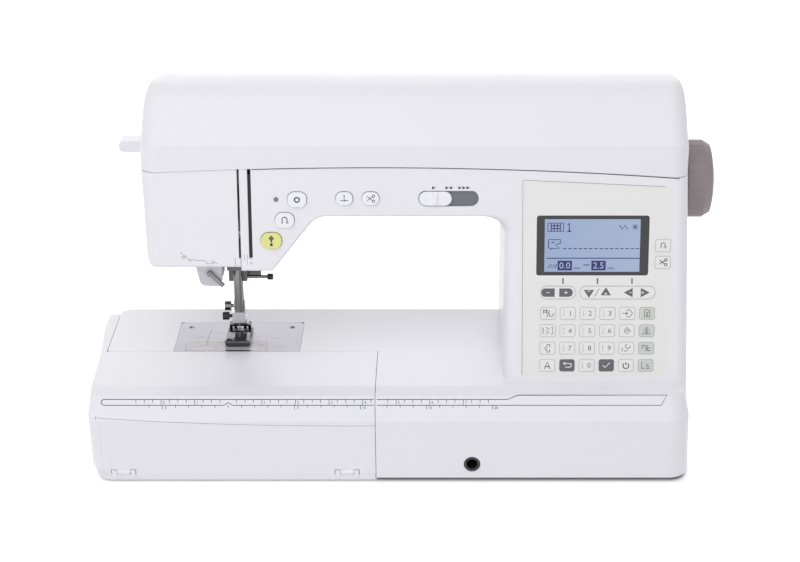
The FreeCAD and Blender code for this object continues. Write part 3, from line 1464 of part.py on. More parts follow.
nodes = {
    "base_pan": base_pan, "rubber_feet": rubber_feet, "front_cover": front_cover, "rear_cover": rear_cover,
    "face_cover": face_cover, "lid": lid, "deck": deck, "free_arm": free_arm,
    "bed_attachment": bed_attachment, "tray_flap": tray_flap,
    "needle_plate": needle_plate, "bobbin_cover": bobbin_cover,
    "panel_film": panel_film, "screen_frame": screen_frame, "screen_glass": screen_glass,
    "speed_track": speed_track, "speed_knob": speed_knob, "indicator_lamp": indicator_lamp,
    "knee_socket": knee_socket, "inner_frame": inner_frame, 
    "main_shaft": main_shaft, "crank": crank, "handwheel": handwheel, "shaft_pulley": shaft_pulley,
    "drive_belt": drive_belt,
    "timing_belt": timing_belt, "motor": motor, "motor_pulley": motor_pulley, "lower_shaft": lower_shaft,
    "hook": hook, "bobbin_case": bobbin_case, "bobbin": bobbin, "feed_dog": feed_dog, "bar_frame": bar_frame,
    "needle_bar": needle_bar, "bar_link": bar_link, "needle_clamp": needle_clamp, "clamp_screw": clamp_screw,
    "needle": needle, "presser_bar": presser_bar, "foot_holder": foot_holder, "holder_screw": holder_screw,
    "presser_foot": presser_foot, "thread_guide": thread_guide, "take_up_lever": take_up_lever,
    "threader_lever": threader_lever, "threader_housing": threader_housing, "presser_lever": presser_lever,
    "feed_lever": feed_lever, "spool_pin": spool_pin, "spool_cap": spool_cap, "winder_spindle": winder_spindle,
    "tension_dial": tension_dial, "socket_panel": socket_panel, "power_switch": power_switch,
}
for node, make in nodes.items():
    write(node, make())
for node in buttons:
    write(node, push_button(node))
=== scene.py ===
import math

import bpy
from mathutils import Matrix, Vector


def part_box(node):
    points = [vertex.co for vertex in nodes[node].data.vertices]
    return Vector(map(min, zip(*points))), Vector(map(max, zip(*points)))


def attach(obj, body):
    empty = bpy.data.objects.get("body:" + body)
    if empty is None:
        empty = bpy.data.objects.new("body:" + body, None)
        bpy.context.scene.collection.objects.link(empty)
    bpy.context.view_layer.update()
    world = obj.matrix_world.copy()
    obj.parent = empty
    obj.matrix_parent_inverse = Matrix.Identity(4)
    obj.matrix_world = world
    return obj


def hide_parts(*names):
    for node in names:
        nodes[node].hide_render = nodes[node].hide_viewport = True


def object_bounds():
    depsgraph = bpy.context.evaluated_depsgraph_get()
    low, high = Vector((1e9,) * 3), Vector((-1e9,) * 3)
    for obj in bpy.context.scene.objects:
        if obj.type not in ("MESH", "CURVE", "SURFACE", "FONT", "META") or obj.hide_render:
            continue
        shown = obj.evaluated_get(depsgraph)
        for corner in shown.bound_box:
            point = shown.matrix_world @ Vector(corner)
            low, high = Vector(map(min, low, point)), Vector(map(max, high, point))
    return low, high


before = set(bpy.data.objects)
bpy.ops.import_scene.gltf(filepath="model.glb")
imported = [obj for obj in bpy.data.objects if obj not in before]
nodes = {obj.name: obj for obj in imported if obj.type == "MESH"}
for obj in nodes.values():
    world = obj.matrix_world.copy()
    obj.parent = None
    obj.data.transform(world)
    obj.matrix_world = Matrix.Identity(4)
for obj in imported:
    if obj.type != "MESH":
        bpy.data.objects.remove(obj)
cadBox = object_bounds()
mm = 0.001


def srgb(red, green, blue):  # a colour as read off a screen, made linear
    shares = [c / 255.0 for c in (red, green, blue)]
    return (*[c / 12.92 if c <= 0.04045 else ((c + 0.055) / 1.055) ** 2.4 for c in shares], 1.0)


def clearSelection():
    if bpy.context.object and bpy.context.object.mode != "OBJECT":
        bpy.ops.object.mode_set(mode="OBJECT")
    bpy.ops.object.select_all(action="DESELECT")


def makeActive(piece):
    clearSelection()
    piece.select_set(True)
    bpy.context.view_layer.objects.active = piece


# camera, floor and light
shot = {"place": (0.034, -1.4356, 0.7463), "pitch": 66.9, "lens": 90.0, "sensor": 36.0, "sideShift": -0.055}
clearSelection()
bpy.ops.object.camera_add(location=shot["place"], rotation=(math.radians(shot["pitch"]), 0, 0))
camera = bpy.context.object
camera.data.lens = shot["lens"]
camera.data.sensor_width = shot["sensor"]
camera.data.shift_x = shot["sideShift"]
bpy.context.scene.camera = camera
bpy.context.scene.view_settings.view_transform = "Standard"

# glowNear, nearEdge, farEdge and the stand box make the floor glow less round the machine: a painted shade
# under and round its foot
studio = {"floorSize": 9.0, "floorTone": 0.86, "floorGap": 0.0004, "glowNear": 0.22, "glowFar": 0.7,
          "nearEdge": -0.001, "farEdge": 0.014, "standMiddle": (-0.0065, 0.0), "standHalf": (0.2225, 0.0785),
          "ambient": (0.965, 0.968, 1.0), "airFront": 0.84, "airBack": 0.3}
lamps = {
    "softTop": {"at": (-0.35, -1.1, 1.7), "aim": (0.0, 0.0, 0.1), "size": 1.7, "watts": 12.5},
    "frontFill": {"at": (-0.2, -2.2, 0.6), "aim": (0.0, 0.0, 0.12), "size": 1.6, "watts": 1.5},
    "leftFill": {"at": (-1.7, -0.7, 0.75), "aim": (0.0, 0.0, 0.15), "size": 1.1, "watts": 2.0},
    "backTop": {"at": (0.0, 1.5, 0.78), "aim": (-0.05, 0.0, 0.1), "size": 2.0, "watts": 8.0},
}


def mathStep(tree, operation, first, second):
    step = tree.nodes.new("ShaderNodeMath")
    step.operation = operation
    tree.links.new(first, step.inputs[0])
    tree.links.new(second, step.inputs[1])
    return step.outputs[0]


def vectorStep(tree, operation, source, amount=None):
    step = tree.nodes.new("ShaderNodeVectorMath")
    step.operation = operation
    tree.links.new(source, step.inputs[0])
    if amount:
        step.inputs[1].default_value = amount
    return step.outputs[0]


def cameraSees(tree):  # 1 for what the eye, a mirror or glass looks at, 0 for light falling on things
    path = tree.nodes.new("ShaderNodeLightPath")
    total = path.outputs["Is Camera Ray"]
    for name in ("Is Glossy Ray", "Is Transmission Ray"):
        total = mathStep(tree, "MAXIMUM", total, path.outputs[name])
    return total


# the glow is lower over the machine's footprint and just round it, a painted shade where its contact shadow
# falls
def standGlow(tree):  # the floor's own glow, dim where the machine stands and rising round it
    place = tree.nodes.new("ShaderNodeTexCoord")
    centred = vectorStep(tree, "SUBTRACT", place.outputs["Object"], (*studio["standMiddle"], 0.0))
    folded = vectorStep(tree, "ABSOLUTE", centred)
    beyond = vectorStep(tree, "SUBTRACT", folded, (*studio["standHalf"], 0.0))
    sides = tree.nodes.new("ShaderNodeSeparateXYZ")
    tree.links.new(beyond, sides.inputs[0])
    reach = mathStep(tree, "MAXIMUM", sides.outputs["X"], sides.outputs["Y"])
    rise = tree.nodes.new("ShaderNodeMapRange")
    ends = {"From Min": "nearEdge", "From Max": "farEdge", "To Min": "glowNear", "To Max": "glowFar"}
    for label, value in ends.items():
        rise.inputs[label].default_value = studio[value]
    tree.links.new(reach, rise.inputs["Value"])
    return mathStep(tree, "MULTIPLY", cameraSees(tree), rise.outputs["Result"])


def buildFloor():
    clearSelection()
    ground = cadBox[0][2] - studio["floorGap"]
    bpy.ops.mesh.primitive_plane_add(size=studio["floorSize"], location=(0, 0, ground))
    floor = bpy.context.object
    floor.name = "studioFloor"
    paper = bpy.data.materials.new("floorPaper")
    paper.use_nodes = True
    tree = paper.node_tree
    tree.nodes.clear()
    out = tree.nodes.new("ShaderNodeOutputMaterial")
    matt = tree.nodes.new("ShaderNodeBsdfDiffuse")
    matt.inputs["Color"].default_value = (*[studio["floorTone"]] * 3, 1.0)
    glow = tree.nodes.new("ShaderNodeEmission")
    tree.links.new(standGlow(tree), glow.inputs["Strength"])
    both = tree.nodes.new("ShaderNodeAddShader")
    tree.links.new(matt.outputs[0], both.inputs[0])
    tree.links.new(glow.outputs[0], both.inputs[1])
    tree.links.new(both.outputs[0], out.inputs["Surface"])
    floor.data.materials.append(paper)


def buildAir():  # white to the eye, and brighter before the machine than behind it
    world = bpy.data.worlds.new("studioAir")
    bpy.context.scene.world = world
    world.use_nodes = True
    tree = world.node_tree
    tree.nodes.clear()
    out = tree.nodes.new("ShaderNodeOutputWorld")
    air = tree.nodes.new("ShaderNodeBackground")
    air.inputs["Color"].default_value = (*studio["ambient"], 1.0)
    heading = tree.nodes.new("ShaderNodeTexCoord")
    parts = tree.nodes.new("ShaderNodeSeparateXYZ")
    fade = tree.nodes.new("ShaderNodeMapRange")
    fade.inputs["From Min"].default_value = -1.0
    fade.inputs["To Min"].default_value = studio["airFront"]
    fade.inputs["To Max"].default_value = studio["airBack"]
    tree.links.new(heading.outputs["Generated"], parts.inputs[0])
    tree.links.new(parts.outputs["Y"], fade.inputs["Value"])
    tree.links.new(fade.outputs["Result"], air.inputs["Strength"])
    white = tree.nodes.new("ShaderNodeBackground")
    white.inputs["Color"].default_value = (1.0, 1.0, 1.0, 1.0)
    pick = tree.nodes.new("ShaderNodeMixShader")
    tree.links.new(cameraSees(tree), pick.inputs[0])
    tree.links.new(air.outputs[0], pick.inputs[1])
    tree.links.new(white.outputs[0], pick.inputs[2])
    tree.links.new(pick.outputs[0], out.inputs["Surface"])


def buildLamps():
    for name, lamp in lamps.items():
        bpy.ops.object.light_add(type="AREA", location=lamp["at"])
        light = bpy.context.object
        light.name = name
        light.data.shape = "DISK"
        light.data.size = lamp["size"]
        light.data.energy = lamp["watts"]
        aim = Vector(lamp["aim"]) - Vector(lamp["at"])
        light.rotation_euler = aim.to_track_quat("-Z", "Y").to_euler()


buildFloor()
buildAir()
buildLamps()
print("studio ready")


# finishes: node groups first, then one material for each finish; a few also carry painted shade
def startGroup(name, takes, gives):
    group = bpy.data.node_groups.new(name, "ShaderNodeTree")
    for label, kind, value in takes:
        socket = group.interface.new_socket(label, in_out="INPUT", socket_type=kind)
        if value is not None:
            socket.default_value = value
    for label, kind in gives:
        group.interface.new_socket(label, in_out="OUTPUT", socket_type=kind)
    return group, group.nodes.new("NodeGroupInput"), group.nodes.new("NodeGroupOutput")


def mixColour(tree, factor, first, second):
    mix = tree.nodes.new("ShaderNodeMix")
    mix.data_type = "RGBA"
    tree.links.new(factor, mix.inputs[0])
    for source, place in ((first, 6), (second, 7)):
        if isinstance(source, tuple):
            mix.inputs[place].default_value = source
        else:
            tree.links.new(source, mix.inputs[place])
    return mix.outputs[2]


noiseSpan = {"From Min": 0.3, "From Max": 0.7}  # where most of a noise's values lie


def spread(tree, value, low, high):
    reach = tree.nodes.new("ShaderNodeMapRange")
    for name, end in noiseSpan.items():
        reach.inputs[name].default_value = end
    tree.links.new(value, reach.inputs["Value"])
    for source, name in ((low, "To Min"), (high, "To Max")):
        tree.links.new(source, reach.inputs[name])
    return reach.outputs["Result"]


def noise(tree, vector, scale, detail):
    cloud = tree.nodes.new("ShaderNodeTexNoise")
    cloud.inputs["Detail"].default_value = detail
    tree.links.new(vector, cloud.inputs["Vector"])
    tree.links.new(scale, cloud.inputs["Scale"])
    return cloud.outputs["Fac"]


def giveOut(group, take, give, drift, height):  # tone and gloss follow the drift
    tone = mixColour(group, drift, take.outputs["Deep"], take.outputs["Light"])
    gloss = spread(group, drift, take.outputs["Smooth"], take.outputs["Rough"])
    for source, label in ((tone, "Color"), (gloss, "Roughness"), (height, "Height")):
        group.links.new(source, give.inputs[label])


effectGives = [("Color", "NodeSocketColor"), ("Roughness", "NodeSocketFloat"), ("Height", "NodeSocketFloat")]


def buildMouldedGrain():  # fine spark-eroded grain with slow drifts of tone and gloss
    takes = [("Vector", "NodeSocketVector", None), ("Light", "NodeSocketColor", (0.8, 0.8, 0.8, 1)),
             ("Deep", "NodeSocketColor", (0.7, 0.7, 0.7, 1)), ("Grain", "NodeSocketFloat", 1500.0),
             ("Drift", "NodeSocketFloat", 14.0), ("Smooth", "NodeSocketFloat", 0.3),
             ("Rough", "NodeSocketFloat", 0.4)]
    group, take, give = startGroup("mouldedGrain", takes, effectGives)
    fine = noise(group, take.outputs["Vector"], take.outputs["Grain"], 2.0)
    slow = noise(group, take.outputs["Vector"], take.outputs["Drift"], 3.0)
    giveOut(group, take, give, slow, fine)
    return group


def buildBrushedLines():  # lines of a brushed or turned metal, drawn out along one way
    takes = [("Vector", "NodeSocketVector", None), ("Light", "NodeSocketColor", (0.7, 0.7, 0.7, 1)),
             ("Deep", "NodeSocketColor", (0.5, 0.5, 0.5, 1)), ("Lines", "NodeSocketFloat", 900.0),
             ("Stretch", "NodeSocketVector", (0.02, 1.0, 1.0)), ("Smooth", "NodeSocketFloat", 0.2),
             ("Rough", "NodeSocketFloat", 0.35)]
    group, take, give = startGroup("brushedLines", takes, effectGives)
    pull = group.nodes.new("ShaderNodeVectorMath")
    pull.operation = "MULTIPLY"
    group.links.new(take.outputs["Vector"], pull.inputs[0])
    group.links.new(take.outputs["Stretch"], pull.inputs[1])
    lines = noise(group, pull.outputs[0], take.outputs["Lines"], 3.0)
    giveOut(group, take, give, lines, lines)
    return group


mouldedGrain = buildMouldedGrain()
brushedLines = buildBrushedLines()


bumpDepth = 0.00005  # metres


def makeFinish(name, group, values, bump, **sockets):
    finish = bpy.data.materials.new(name)
    finish.use_nodes = True
    tree = finish.node_tree
    shader = tree.nodes["Principled BSDF"]
    place = tree.nodes.new("ShaderNodeTexCoord")
    effect = tree.nodes.new("ShaderNodeGroup")
    effect.node_tree = group
    tree.links.new(place.outputs["Object"], effect.inputs["Vector"])
    for label, value in values.items():
        effect.inputs[label].default_value = value
    dents = tree.nodes.new("ShaderNodeBump")
    dents.inputs["Strength"].default_value = bump
    dents.inputs["Distance"].default_value = bumpDepth
    tree.links.new(effect.outputs["Color"], shader.inputs["Base Color"])
    tree.links.new(effect.outputs["Roughness"], shader.inputs["Roughness"])
    tree.links.new(effect.outputs["Height"], dents.inputs["Height"])
    tree.links.new(dents.outputs["Normal"], shader.inputs["Normal"])
    for label, value in sockets.items():
        shader.inputs[label.replace("_", " ")].default_value = value
    return finish


def twoTones(colour, deepen):
    light = srgb(*colour)
    return {"Light": light, "Deep": (*[c * deepen for c in light[:3]], 1.0)}


def plastic(name, colour, smooth, rough, grain=1500.0, drift=14.0, deepen=0.965, bump=0.05, **sockets):
    values = {"Grain": grain, "Drift": drift, "Smooth": smooth, "Rough": rough, **twoTones(colour, deepen)}
    return makeFinish(name, mouldedGrain, values, bump, **sockets)


def metal(name, colour, smooth, rough, lines=900.0, stretch=(0.02, 1.0, 1.0), deepen=0.8, bump=0.08):
    values = {"Lines": lines, "Stretch": stretch, "Smooth": smooth, "Rough": rough,
              **twoTones(colour, deepen)}
    return makeFinish(name, brushedLines, values, bump, Metallic=1.0)


screenLook = {"washX": (0.108, 0.182), "leftBlue": (146, 165, 196), "rightBlue": (160, 176, 202),
              "gridBlue": (138, 156, 188), "dot": 0.42, "gap": 0.03, "glow": 0.08, "rough": 0.18,
              "coat": 0.25}


def buildScreenFinish():  # a backlit display: a slow wash of blue under a fine dot grid and a clear cover
    finish = bpy.data.materials.new("screenBlue")
    finish.use_nodes = True
    tree = finish.node_tree
    shader = tree.nodes["Principled BSDF"]
    place = tree.nodes.new("ShaderNodeTexCoord")
    parts = tree.nodes.new("ShaderNodeSeparateXYZ")
    tree.links.new(place.outputs["Object"], parts.inputs[0])
    wash = tree.nodes.new("ShaderNodeMapRange")
    wash.inputs["From Min"].default_value, wash.inputs["From Max"].default_value = screenLook["washX"]
    tree.links.new(parts.outputs["X"], wash.inputs["Value"])
    blues = [srgb(*screenLook[side]) for side in ("leftBlue", "rightBlue")]
    tone = mixColour(tree, wash.outputs["Result"], *blues)
    dots = tree.nodes.new("ShaderNodeTexBrick")
    dots.offset = 0.0
    dots.inputs["Scale"].default_value = 1.0
    dots.inputs["Brick Width"].default_value = screenLook["dot"] * mm
    dots.inputs["Row Height"].default_value = screenLook["dot"] * mm
    dots.inputs["Mortar Size"].default_value = screenLook["gap"] * mm
    turn = tree.nodes.new("ShaderNodeMapping")
    turn.inputs["Rotation"].default_value = (-math.pi / 2, 0.0, 0.0)
    tree.links.new(place.outputs["Object"], turn.inputs["Vector"])
    tree.links.new(turn.outputs["Vector"], dots.inputs["Vector"])
    grid = mixColour(tree, dots.outputs["Fac"], tone, srgb(*screenLook["gridBlue"]))
    tree.links.new(grid, shader.inputs["Base Color"])
    tree.links.new(grid, shader.inputs["Emission Color"])
    shader.inputs["Emission Strength"].default_value = screenLook["glow"]
    shader.inputs["Roughness"].default_value = screenLook["rough"]
    shader.inputs["Coat Weight"].default_value = screenLook["coat"]
    return finish


finishes = {
    "shellWhite": plastic("shellWhite", (233, 232, 236), 0.30, 0.40, deepen=0.975, Coat_Weight=0.12,
                          Coat_Roughness=0.2),
    "deckWhite": plastic("deckWhite", (226, 226, 229), 0.38, 0.48, deepen=0.97),
    "buttonWhite": plastic("buttonWhite", (238, 238, 241), 0.24, 0.34, deepen=0.98, Coat_Weight=0.2),
    "panelFilm": plastic("panelFilm", (232, 231, 229), 0.34, 0.46, grain=2600.0, deepen=0.985, bump=0.08),
    "bezelGrey": plastic("bezelGrey", (50, 50, 54), 0.3, 0.42, grain=2200.0, deepen=0.9),
    # grey of the speed track, also used for the painted shade along the film's edge
    "trackGreyAndEdgeShade": plastic("trackGreyAndEdgeShade", (112, 113, 122), 0.4, 0.55, deepen=0.92),
    "keyGrey": plastic("keyGrey", (150, 150, 154), 0.36, 0.5, deepen=0.94),
    "wheelGrey": plastic("wheelGrey", (146, 134, 136), 0.4, 0.55, grain=1100.0, deepen=0.93, bump=0.12),
    "startGreen": plastic("startGreen", (230, 225, 138), 0.18, 0.28, deepen=0.97, Coat_Weight=0.4,
                          Subsurface_Weight=0.1),
    "lampGrey": plastic("lampGrey", (112, 114, 118), 0.15, 0.25, deepen=0.9, Coat_Weight=0.5),
    # black for the black plastic parts, and for the painted shade inside the thread slots
    "blackPlasticAndSlotShade": plastic("blackPlasticAndSlotShade", (34, 34, 36), 0.32, 0.46, deepen=0.8, bump=0.1),
    "panGrey": plastic("panGrey", (92, 92, 96), 0.45, 0.6, grain=900.0, deepen=0.9, bump=0.14),
    "rubberDark": plastic("rubberDark", (40, 40, 42), 0.6, 0.75, grain=700.0, deepen=0.8, bump=0.2),
    "clearSmoke": plastic("clearSmoke", (216, 211, 215), 0.1, 0.18, deepen=0.97, Transmission_Weight=0.15,
                          IOR=1.49),
    "plateSteel": metal("plateSteel", (160, 159, 165), 0.3, 0.44, lines=1500.0, deepen=0.88),
    "turnedSteel": metal("turnedSteel", (178, 178, 184), 0.22, 0.38, lines=1300.0, stretch=(1.0, 0.15, 0.15)),
    "brightSteel": metal("brightSteel", (208, 208, 212), 0.1, 0.2, lines=800.0, stretch=(1.0, 1.0, 0.05),
                         deepen=0.9),
    "footChrome": metal("footChrome", (88, 89, 95), 0.1, 0.22, lines=700.0, stretch=(1.0, 0.2, 1.0),
                        deepen=0.75),
    "barSteel": metal("barSteel", (138, 134, 134), 0.14, 0.26, lines=800.0, stretch=(1.0, 1.0, 0.05)),
    "darkAlloy": metal("darkAlloy", (104, 102, 103), 0.3, 0.44, lines=420.0, stretch=(1.0, 1.0, 1.0),
                       bump=0.2),
    "smokeGloss": plastic("smokeGloss", (38, 42, 46), 0.08, 0.16, deepen=0.8, Coat_Weight=0.6),
    # dark for the painted shadow line under the lid, and for the lines engraved on the needle plate
    "paintedShadeAndEngraving": plastic("paintedShadeAndEngraving", (58, 58, 62), 0.6, 0.75, deepen=0.85),
    "castAlloy": metal("castAlloy", (168, 168, 172), 0.45, 0.6, lines=420.0, stretch=(1.0, 1.0, 1.0),
                       bump=0.3),
    "markInk": plastic("markInk", (46, 46, 52), 0.5, 0.65, grain=3000.0, deepen=0.85),
    "numberInk": plastic("numberInk", (104, 104, 108), 0.5, 0.65, grain=3000.0, deepen=0.9),
    # grey for printed lines, and for the painted shade in the gaps round the buttons
    "lineInkAndGapShade": plastic("lineInkAndGapShade", (128, 128, 134), 0.5, 0.65, grain=3000.0, deepen=0.92),
    "keyDark": plastic("keyDark", (98, 96, 100), 0.36, 0.5, grain=2600.0, deepen=0.9),
    "keyPale": plastic("keyPale", (206, 208, 204), 0.36, 0.5, grain=2600.0, deepen=0.96),
    "paleInk": plastic("paleInk", (232, 232, 232), 0.45, 0.6, grain=3000.0, deepen=0.96),
    "screenInk": plastic("screenInk", (36, 34, 108), 0.3, 0.4, grain=3000.0, deepen=0.85),
    "screenPale": plastic("screenPale", (176, 192, 216), 0.3, 0.4, grain=3000.0, deepen=0.95),
    "screenBlue": buildScreenFinish(),
}
worn = {
    "shellWhite": ["front_cover", "rear_cover", "face_cover", "lid", "bed_attachment", "tray_flap",
                   "free_arm", "threader_lever"],
    "deckWhite": ["deck", "threader_housing", "spool_pin", "presser_lever"],
    "buttonWhite": ["speed_knob", "reinforce_button", "reverse_button", "needle_button", "cutter_button"],
    "panelFilm": ["panel_film"], "bezelGrey": ["screen_frame"], "screenBlue": ["screen_glass"],
    "trackGreyAndEdgeShade": ["speed_track"], "wheelGrey": ["handwheel"], "startGreen": ["start_button"],
    "keyGrey": ["feed_lever", "winder_spindle", "tension_dial"], "lampGrey": ["indicator_lamp"],
    "blackPlasticAndSlotShade": ["knee_socket", "bobbin_case", "clamp_screw", "socket_panel", "power_switch"],
    "panGrey": ["base_pan"], "rubberDark": ["rubber_feet", "drive_belt", "timing_belt"],
    "clearSmoke": ["bobbin_cover", "bobbin", "spool_cap"], "plateSteel": ["needle_plate"],
    "turnedSteel": ["main_shaft", "crank", "shaft_pulley", "motor", "motor_pulley", "lower_shaft", "hook",
                    "feed_dog", "bar_link"],
    "barSteel": ["needle_bar", "presser_bar", "thread_guide", "holder_screw", "take_up_lever"],
    "brightSteel": ["needle_clamp", "needle", "foot_holder"],
    "footChrome": ["presser_foot"], "castAlloy": ["inner_frame"], "darkAlloy": ["bar_frame"],
}
for finishName, names in worn.items():
    for name in names:
        nodes[name].data.materials.clear()
        nodes[name].data.materials.append(finishes[finishName])
print("finishes on", sum(len(names) for names in worn.values()), "of", len(nodes), "nodes")


# the tilted front face, and how printed marks are set on it
face = {"footY": -58.0, "footZ": 76.3, "lean": math.radians(6.7), "ink": 0.05, "feeler": 0.02}
faceOut = Vector((0.0, -math.cos(face["lean"]), math.sin(face["lean"])))


def facePoint(x, z):
    return Vector((x, face["footY"] + (z - face["footZ"]) * math.tan(face["lean"]), z)) * mm


def liftAbove(node, x, z):  # how far a node's skin stands out of the face there, in millimetres
    foot = facePoint(x, z)
    found, spot = nodes[node].ray_cast(foot + faceOut * face["feeler"], -faceOut)[:2]
    return (spot - foot).dot(faceOut) / mm if found else 0.0


def strokes(name, lines, width, thick=face["ink"]):  # pen lines, each (points, closed), as thin raised ink
    drawn = bpy.data.curves.new(name, "CURVE")
    drawn.dimensions = "3D"
    drawn.bevel_depth = width / 2 * mm
    drawn.bevel_resolution = 1
    drawn.use_fill_caps = True
    for points, closed in lines:
        spline = drawn.splines.new("POLY")
        spline.points.add(len(points) - 1)
        for point, (x, y) in zip(spline.points, points):
            point.co = (x * mm, y * mm, 0.0, 1.0)
        spline.use_cyclic_u = closed
    piece = bpy.data.objects.new(name, drawn)
    bpy.context.scene.collection.objects.link(piece)
    makeActive(piece)
    bpy.ops.object.convert(target="MESH")
    piece = bpy.context.object
    piece.scale = (1.0, 1.0, thick / width)
    bpy.ops.object.transform_apply(location=False, rotation=False, scale=True)
    return piece


def thicken(thick):  # in edit mode: a flat face or ring becomes a closed plate
    bpy.ops.mesh.select_all(action="SELECT")
    bpy.ops.mesh.extrude_region_move(TRANSFORM_OT_translate={"value": (0, 0, thick * mm)})
    bpy.ops.mesh.select_all(action="SELECT")
    bpy.ops.mesh.normals_make_consistent(inside=False)
    bpy.ops.object.mode_set(mode="OBJECT")


def tile(name, x, y, width, height, corner, thick=face["ink"], rim=0.0, corners=None):
    clearSelection()
    bpy.ops.mesh.primitive_plane_add(size=1.0)
    piece = bpy.context.object
    piece.name = name
    piece.scale = (width * mm, height * mm, 1.0)
    bpy.ops.object.transform_apply(location=False, rotation=False, scale=True)
    if corner:
        for vertex in piece.data.vertices:
            side = ("L" if vertex.co.x < 0 else "R") + ("B" if vertex.co.y < 0 else "T")
            vertex.select = corners is None or side in corners
        for edge in piece.data.edges:
            edge.select = False
        for part in piece.data.polygons:
            part.select = False
        bpy.ops.object.mode_set(mode="EDIT")
        bpy.ops.mesh.select_mode(type="VERT")
        bpy.ops.mesh.bevel(offset=corner * mm, segments=4, affect="VERTICES")
        bpy.ops.object.mode_set(mode="OBJECT")
    bpy.ops.object.mode_set(mode="EDIT")
    bpy.ops.mesh.select_all(action="SELECT")
    if rim:
        bpy.ops.mesh.select_mode(type="FACE")
        bpy.ops.mesh.inset(thickness=rim * mm)
        bpy.ops.mesh.delete(type="FACE")
    thicken(thick)
    return shift(piece, x, y)


def wedge(name, x, y, radius, turn, wide, tall, thick=face["ink"]):  # a filled triangle
    clearSelection()
    bpy.ops.mesh.primitive_circle_add(vertices=3, radius=radius * mm, fill_type="NGON",
                                      rotation=(0, 0, turn))
    piece = bpy.context.object
    piece.name = name
    bpy.ops.object.transform_apply(location=False, rotation=True, scale=False)
    piece.scale = (wide, tall, 1.0)
    bpy.ops.object.transform_apply(location=False, rotation=False, scale=True)
    bpy.ops.object.mode_set(mode="EDIT")
    thicken(thick)
    return shift(piece, x, y)


def numeral(name, text, x, y, size, thick=face["ink"]):
    clearSelection()
    bpy.ops.object.text_add()
    piece = bpy.context.object
    piece.name = name
    piece.data.body = text
    piece.data.size = size * mm
    piece.data.extrude = thick / 2 * mm
    piece.data.resolution_u = 3
    piece.data.align_x = "CENTER"
    piece.data.align_y = "CENTER"
    bpy.ops.object.convert(target="MESH")
    piece = bpy.context.object
    piece.data.transform(Matrix.Translation((0, 0, thick / 2 * mm)))
    return shift(piece, x, y)


def shift(piece, x, y):
    makeActive(piece)
    piece.location = (x * mm, y * mm, 0.0)
    bpy.ops.object.transform_apply(location=True, rotation=False, scale=False)
    return piece


def together(name, pieces):
    clearSelection()
    for piece in pieces:
        piece.select_set(True)
    bpy.context.view_layer.objects.active = pieces[0]
    if len(pieces) > 1:
        bpy.ops.object.join()
    piece = bpy.context.object
    piece.name = name
    piece.data.name = name
    return piece


def raiseBy(piece, lift):
    piece.data.transform(Matrix.Translation((0, 0, lift * mm)))
    return piece


def setOnFace(piece, x=0.0, z=0.0, lift=0.0):  # local x, y go along the face from the point x, z
    piece.rotation_euler = (math.pi / 2 - face["lean"], 0.0, 0.0)
    piece.location = facePoint(x, z) + faceOut * lift * mm
    makeActive(piece)
    bpy.ops.object.transform_apply(location=True, rotation=True, scale=False)
    return piece


def block(name, low, high, soften):  # a box with its edges taken off, corners in millimetres
    clearSelection()
    middle = [(a + b) / 2 * mm for a, b in zip(low, high)]
    bpy.ops.mesh.primitive_cube_add(size=1.0, location=middle)
    piece = bpy.context.object
    piece.name = name
    piece.scale = [(b - a) * mm for a, b in zip(low, high)]
    bpy.ops.object.transform_apply(location=True, rotation=False, scale=True)
    bpy.ops.object.mode_set(mode="EDIT")
    bpy.ops.mesh.select_all(action="SELECT")
    bpy.ops.mesh.bevel(offset=soften * mm, segments=2, affect="EDGES")
    bpy.ops.object.mode_set(mode="OBJECT")
    return piece


def dress(piece, finishName, body):
    piece.data.materials.clear()
    piece.data.materials.append(finishes[finishName])
    for part in piece.data.polygons:
        part.material_index = 0
    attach(piece, body)
    return piece


def printOnFace(piece, finishName, lift=0.0, body="machine"):  # for what is drawn from the face's foot
    return dress(setOnFace(raiseBy(piece, lift), 0.0, face["footZ"]), finishName, body)


def arc(x, y, radius, start, stop, count=10):
    turns = [math.radians(start + (stop - start) * k / count) for k in range(count + 1)]
    return [(x + radius * math.cos(t), y + radius * math.sin(t)) for t in turns]


def ring(x, y, radius, count=18):
    return (arc(x, y, radius, 0, 360 - 360 / count, count - 1), True)


def moved(lines, x, y, size=1.0):
    return [([(x + px * size, y + py * size) for px, py in points], closed) for points, closed in lines]


def uphill(z):  # height on the face becomes length along it
    return (z - face["footZ"]) / math.cos(face["lean"])


def alongFace(lines):
    return [([(x, uphill(z)) for x, z in points], closed) for points, closed in lines]


